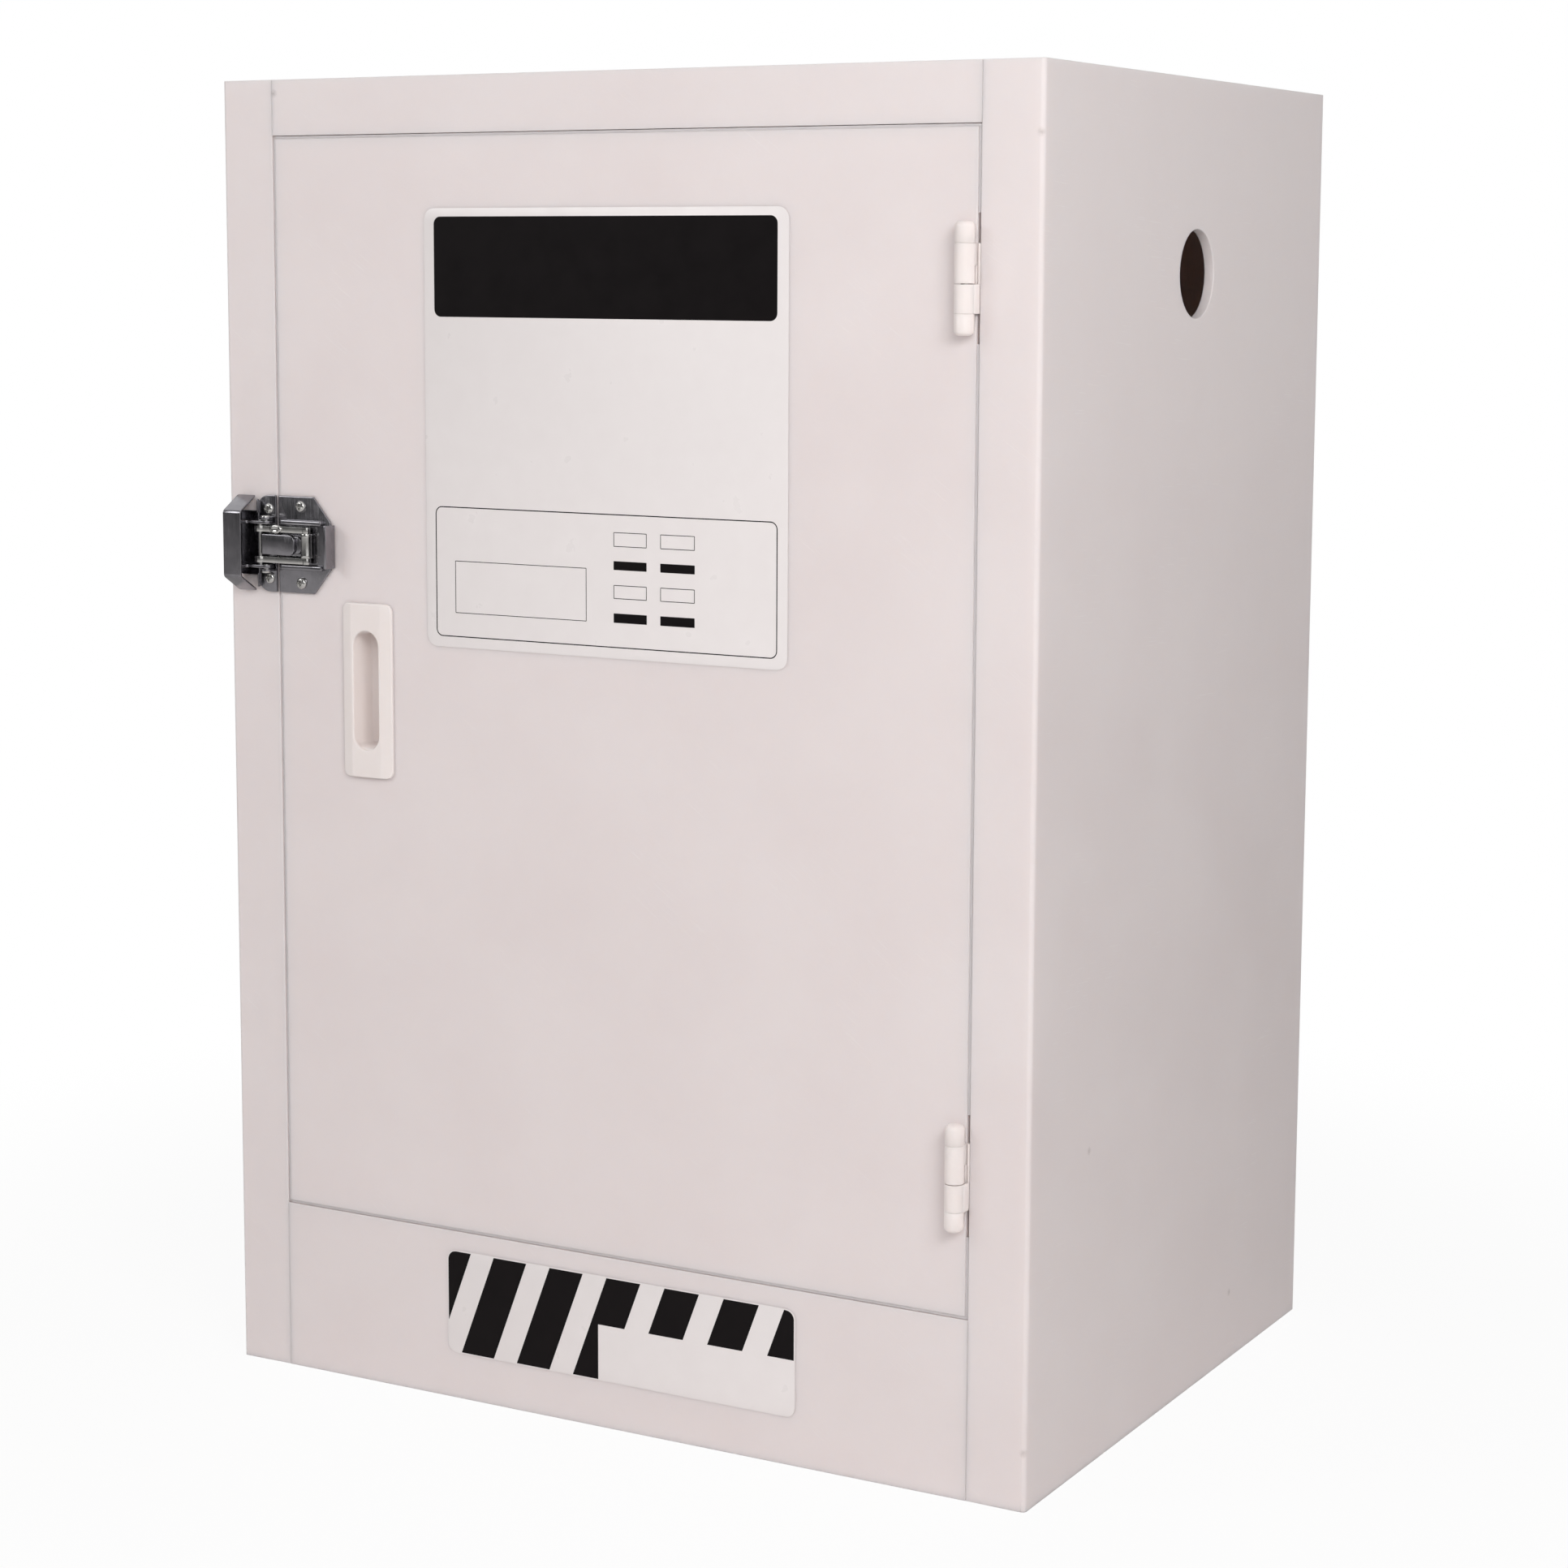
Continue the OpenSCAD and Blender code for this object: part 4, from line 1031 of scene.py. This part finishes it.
@dataclass
class DoorLabel(Label):
    """White film on the door with a plain black head band and an outlined panel of blank boxes."""

    low: tuple[float, float] = (-140.5, 516.5)
    high: tuple[float, float] = (133.5, 804.5)
    corner: float = 8.0
    line: float = 0.7
    box_line: float = 0.45

    BAND = ((-132.5, 734.0), (125.5, 799.0))
    PANEL = ((-133.0, 523.5), (126.3, 609.8))
    BOXES = (((-117.6, 539.5), (-15.1, 574.2)), ((5.6, 588.9), (30.5, 598.2)), ((40.7, 588.9), (66.2, 598.2)),
             ((5.6, 555.3), (30.5, 564.2)), ((40.7, 555.3), (66.2, 564.2)))
    BARS = (((5.6, 573.9), (30.5, 579.6)), ((40.7, 573.9), (66.2, 579.6)), ((5.6, 539.8), (30.6, 545.9)),
            ((40.7, 539.8), (66.2, 545.9)))

    def build(self) -> None:
        """Builds the film and its ink."""
        self._film("door_film", Body.DOOR, "door_label")
        low, top = self.film - self.sink, self.film + self.ink
        solid = [rounded_outline(*self.BAND, 5.0)] + [rounded_outline(*bar, 0.3, 3) for bar in self.BARS]
        ink = self._ink("door_film_ink", solid)
        frames = [(rounded_outline(*self.PANEL, 5.0), self.line)]
        frames += [(rounded_outline(*box, 0.4, 3), self.box_line) for box in self.BOXES]
        for outline, line in frames:
            inner = inset(outline, line) if line < self.line else rounded_outline(
                *(np.array(self.PANEL) + [[line], [-line]]), 5.0 - line)
            ink.skin([laid(outline, low, Lay.FACE), laid(outline, top, Lay.FACE), laid(inner, top, Lay.FACE),
                      laid(inner, low, Lay.FACE)], looped=True)
        settle(ink.build(), Body.DOOR, Slot.INK)


@dataclass
class StripeLabel(Label):
    """White film on the lower rail with slanted black stripes round a blank field."""

    low: tuple[float, float] = (-129.0, 32.0)
    high: tuple[float, float] = (141.5, 104.0)
    corner: float = 7.0
    margin: float = 0.8
    stripes: int = 7
    first: float = -135.7
    pitch: float = 44.9
    width: float = 26.3
    lean: float = 0.379
    field: tuple[float, float] = (-7.9, 70.5)

    def _stripe(self, number: int, levels: np.ndarray, stop: float) -> np.ndarray | None:
        """Outline of one stripe between levels.

        At each level its sides lie on two slanted lines, cut off by the film's margin, which turns in at the film's
        corners as a quarter circle, and by the blank field.

        Args:
            number: Number of the stripe from the left.
            levels: Heights from the lowest up.
            stop: Right-hand limit.

        Returns:
            The outline, or None where nothing of the stripe is left.
        """
        low, high = np.array(self.low) + self.margin, np.array(self.high) - self.margin
        radius = self.corner - self.margin
        past = np.maximum(np.maximum(levels - high[1], low[1] - levels) + radius, 0.0)
        curve = radius - np.sqrt(np.maximum(radius ** 2 - past ** 2, 0.0))
        start = self.first + number * self.pitch - self.lean * (self.high[1] - levels)
        left = np.maximum(start, low[0] + curve)
        right = np.minimum(start + self.width, np.minimum(high[0] - curve, stop))
        kept = right - left > 0.05
        if kept.sum() < 2:
            return None
        left, right, levels = left[kept], right[kept], levels[kept]
        return np.concatenate([np.stack([right, levels], 1), np.stack([left, levels], 1)[::-1]])

    def build(self) -> None:
        """Builds the film and its ink."""
        self._film("rail_film", Body.CABINET, "stripe_label")
        upper = np.linspace(self.field[1], self.high[1] - self.margin, 80)
        lower = np.linspace(self.low[1] + self.margin, self.field[1], 80)
        found = [self._stripe(number, upper, 1e3) for number in range(self.stripes)]
        found += [self._stripe(number, lower, self.field[0]) for number in range(self.stripes)]
        ink = self._ink("rail_film_ink", [outline for outline in found if outline is not None])
        settle(ink.build(), Body.CABINET, Slot.INK)


@dataclass
class ShelfAndTray:
    """Lipped shelf and spill tray."""

    edge: float = 0.8

    def build(self) -> None:
        """Builds both trays."""
        settle(softened("shelf", "lipped_shelf", self.edge), Body.SHELF, Slot.SHEET, "shelf")
        settle(softened("sump_tray", "spill_tray", self.edge), Body.TRAY, Slot.SHEET, "sump_tray")


@dataclass(frozen=True)
class Softbox:
    """One square softbox of the studio, which reflections leave out where it is not mirrored."""

    name: str
    place: tuple[float, float, float]
    side: float
    watts: float
    mirrored: bool = True

    def build(self, target: tuple[float, float, float]) -> None:
        """Hangs the softbox and turns it to a point.

        Args:
            target: Where it aims, in metres.
        """
        light = bpy.data.lights.new(self.name, "AREA")
        light.shape, light.size, light.energy = "SQUARE", self.side, self.watts
        obj = add_object(self.name, light)
        away = np.array(self.place) - target
        flat = math.hypot(away[0], away[1])
        obj.location = self.place
        obj.rotation_euler = (math.atan2(flat, away[2]), 0.0, math.atan2(away[0], -away[1]))
        obj.visible_glossy = self.mirrored


@dataclass
class Studio:
    """Pale floor, soft light, white surroundings and the camera."""

    target: tuple[float, float, float] = (0.0, 0.0, 0.45)
    boxes: tuple[Softbox, ...] = (
        Softbox("softbox_left", (-2.2, -2.6, 2.0), 1.5, 27.5),
        Softbox("softbox_front", (1.5, -2.9, 1.9), 1.2, 20.0),
        Softbox("softbox_right", (1.7, -1.5, 1.5), 0.9, 22.0, mirrored=False),
    )
    world_strength: float = 0.26
    floor_reach: float = 12.0
    near_glow: float = 0.93
    glow_rise: tuple[float, float] = (0.45, 1.1)
    card_way: tuple[float, float, float] = (-0.48, -0.87, 0.0)
    card_strength: float = 0.06
    card_fade: tuple[float, float] = (0.25, 0.75)
    lens: float = 76.166
    shift_y: float = -0.05
    camera_place: tuple[float, float, float] = (1.1360, -2.0371, 0.7672)
    camera_turn: tuple[float, float, float] = (82.472, -0.251, 29.175)

    def build(self) -> None:
        """Builds the whole studio."""
        for box in self.boxes:
            box.build(self.target)
        self._floor()
        self._world()
        self._camera()

    def _floor(self) -> None:
        """Lays a pale floor that glows white to the camera, less so near the cabinet, where it holds the shadow."""
        corners = np.array([[-1, -1, 0], [1, -1, 0], [1, 1, 0], [-1, 1, 0]]) * self.floor_reach
        mesh = bpy.data.meshes.new("floor")
        mesh.from_pydata(corners, [], [(0, 1, 2, 3)])
        floor = add_object("floor", mesh)
        material = bpy.data.materials.new("pale_floor")
        add = empty_tree(material)
        at = add("TexCoord").outputs["Object"]
        reach = add("VectorMath", None, {0: at}, operation="LENGTH")
        rise = add("MapRange",
                   {"From Min": self.glow_rise[0], "From Max": self.glow_rise[1], "To Min": self.near_glow,
                    "To Max": 1.0}, {"Value": reach.outputs["Value"]}, interpolation_type="SMOOTHSTEP")
        seen = add("LightPath")
        share = add("Math", None, {0: seen.outputs["Is Camera Ray"], 1: rise}, operation="MULTIPLY")
        matt = add("BsdfDiffuse", {"Color": linear("#F4F2F1")})
        glow = add("Emission", {"Color": (1.0, 1.0, 1.0, 1.0), "Strength": 1.0})
        mixed = add("MixShader", None, {0: share.outputs["Value"], 1: matt, 2: glow})
        add("OutputMaterial", None, {"Surface": mixed})
        mesh.materials.append(material)

    def _world(self) -> None:
        """Sets the surroundings: white to the camera, softer as light, white to reflections but for a dark card."""
        world = bpy.data.worlds.new("studio_world")
        bpy.context.scene.world = world
        add = empty_tree(world)
        path = add("LightPath")
        seen = add("Math", None, {0: path.outputs["Is Camera Ray"], 1: path.outputs["Is Transmission Ray"]},
                   operation="MAXIMUM")
        lit = add("MapRange", {"To Min": self.world_strength, "To Max": 1.0}, {"Value": seen.outputs["Value"]})
        way = add("TexCoord").outputs["Generated"]
        near = add("VectorMath", {1: self.card_way}, {0: way}, operation="DOT_PRODUCT")
        mirrored = add("MapRange",
                       {"From Min": self.card_fade[0], "From Max": self.card_fade[1], "To Min": 1.0,
                        "To Max": self.card_strength}, {"Value": near.outputs["Value"]},
                       interpolation_type="SMOOTHSTEP")
        strength = add("Mix", None, {0: path.outputs["Is Glossy Ray"], 2: lit, 3: mirrored})
        sky = add("Background", {"Color": (1.0, 1.0, 1.0, 1.0)}, {"Strength": strength.outputs[0]})
        add("OutputWorld", None, {"Surface": sky})

    def _camera(self) -> None:
        """Sets the camera at the photograph's place."""
        data = bpy.data.cameras.new("camera")
        data.lens, data.sensor_width, data.shift_y = self.lens, 36.0, self.shift_y
        data.clip_end = 60.0
        camera = add_object("camera", data)
        camera.location = self.camera_place
        camera.rotation_euler = tuple(math.radians(a) for a in self.camera_turn)
        bpy.context.scene.camera = camera


def build_hinges() -> None:
    """Builds both hinges and the caps at their ends, which the CAD keeps as one node above and one below."""
    hinges = [BarrelHinge("lower", 175.0), BarrelHinge("upper", 727.0)]
    for hinge in hinges:
        hinge.build()
    for upper, body in ((False, Body.CABINET), (True, Body.DOOR)):
        end = "top" if upper else "bottom"
        caps = Shape(f"moulded_{end}_caps")
        for hinge in hinges:
            hinge.cap_on(caps, upper)
        settle(caps.build(50.0), body, Slot.MOULDED, f"hinge_{end}_caps")


def build_all() -> None:
    """Builds the cabinet and the studio."""
    logging.basicConfig(level=logging.INFO, format="%(name)s: %(message)s")
    for part in (CabinetShell, WeldBeads, DoorLeaf, FlushPull, DrawLatch, DoorLabel, StripeLabel, ShelfAndTray):
        part().build()
    build_hinges()
    Studio().build()
    bpy.context.scene.view_settings.view_transform = "Standard"


if __name__ == "__main__":
    build_all()
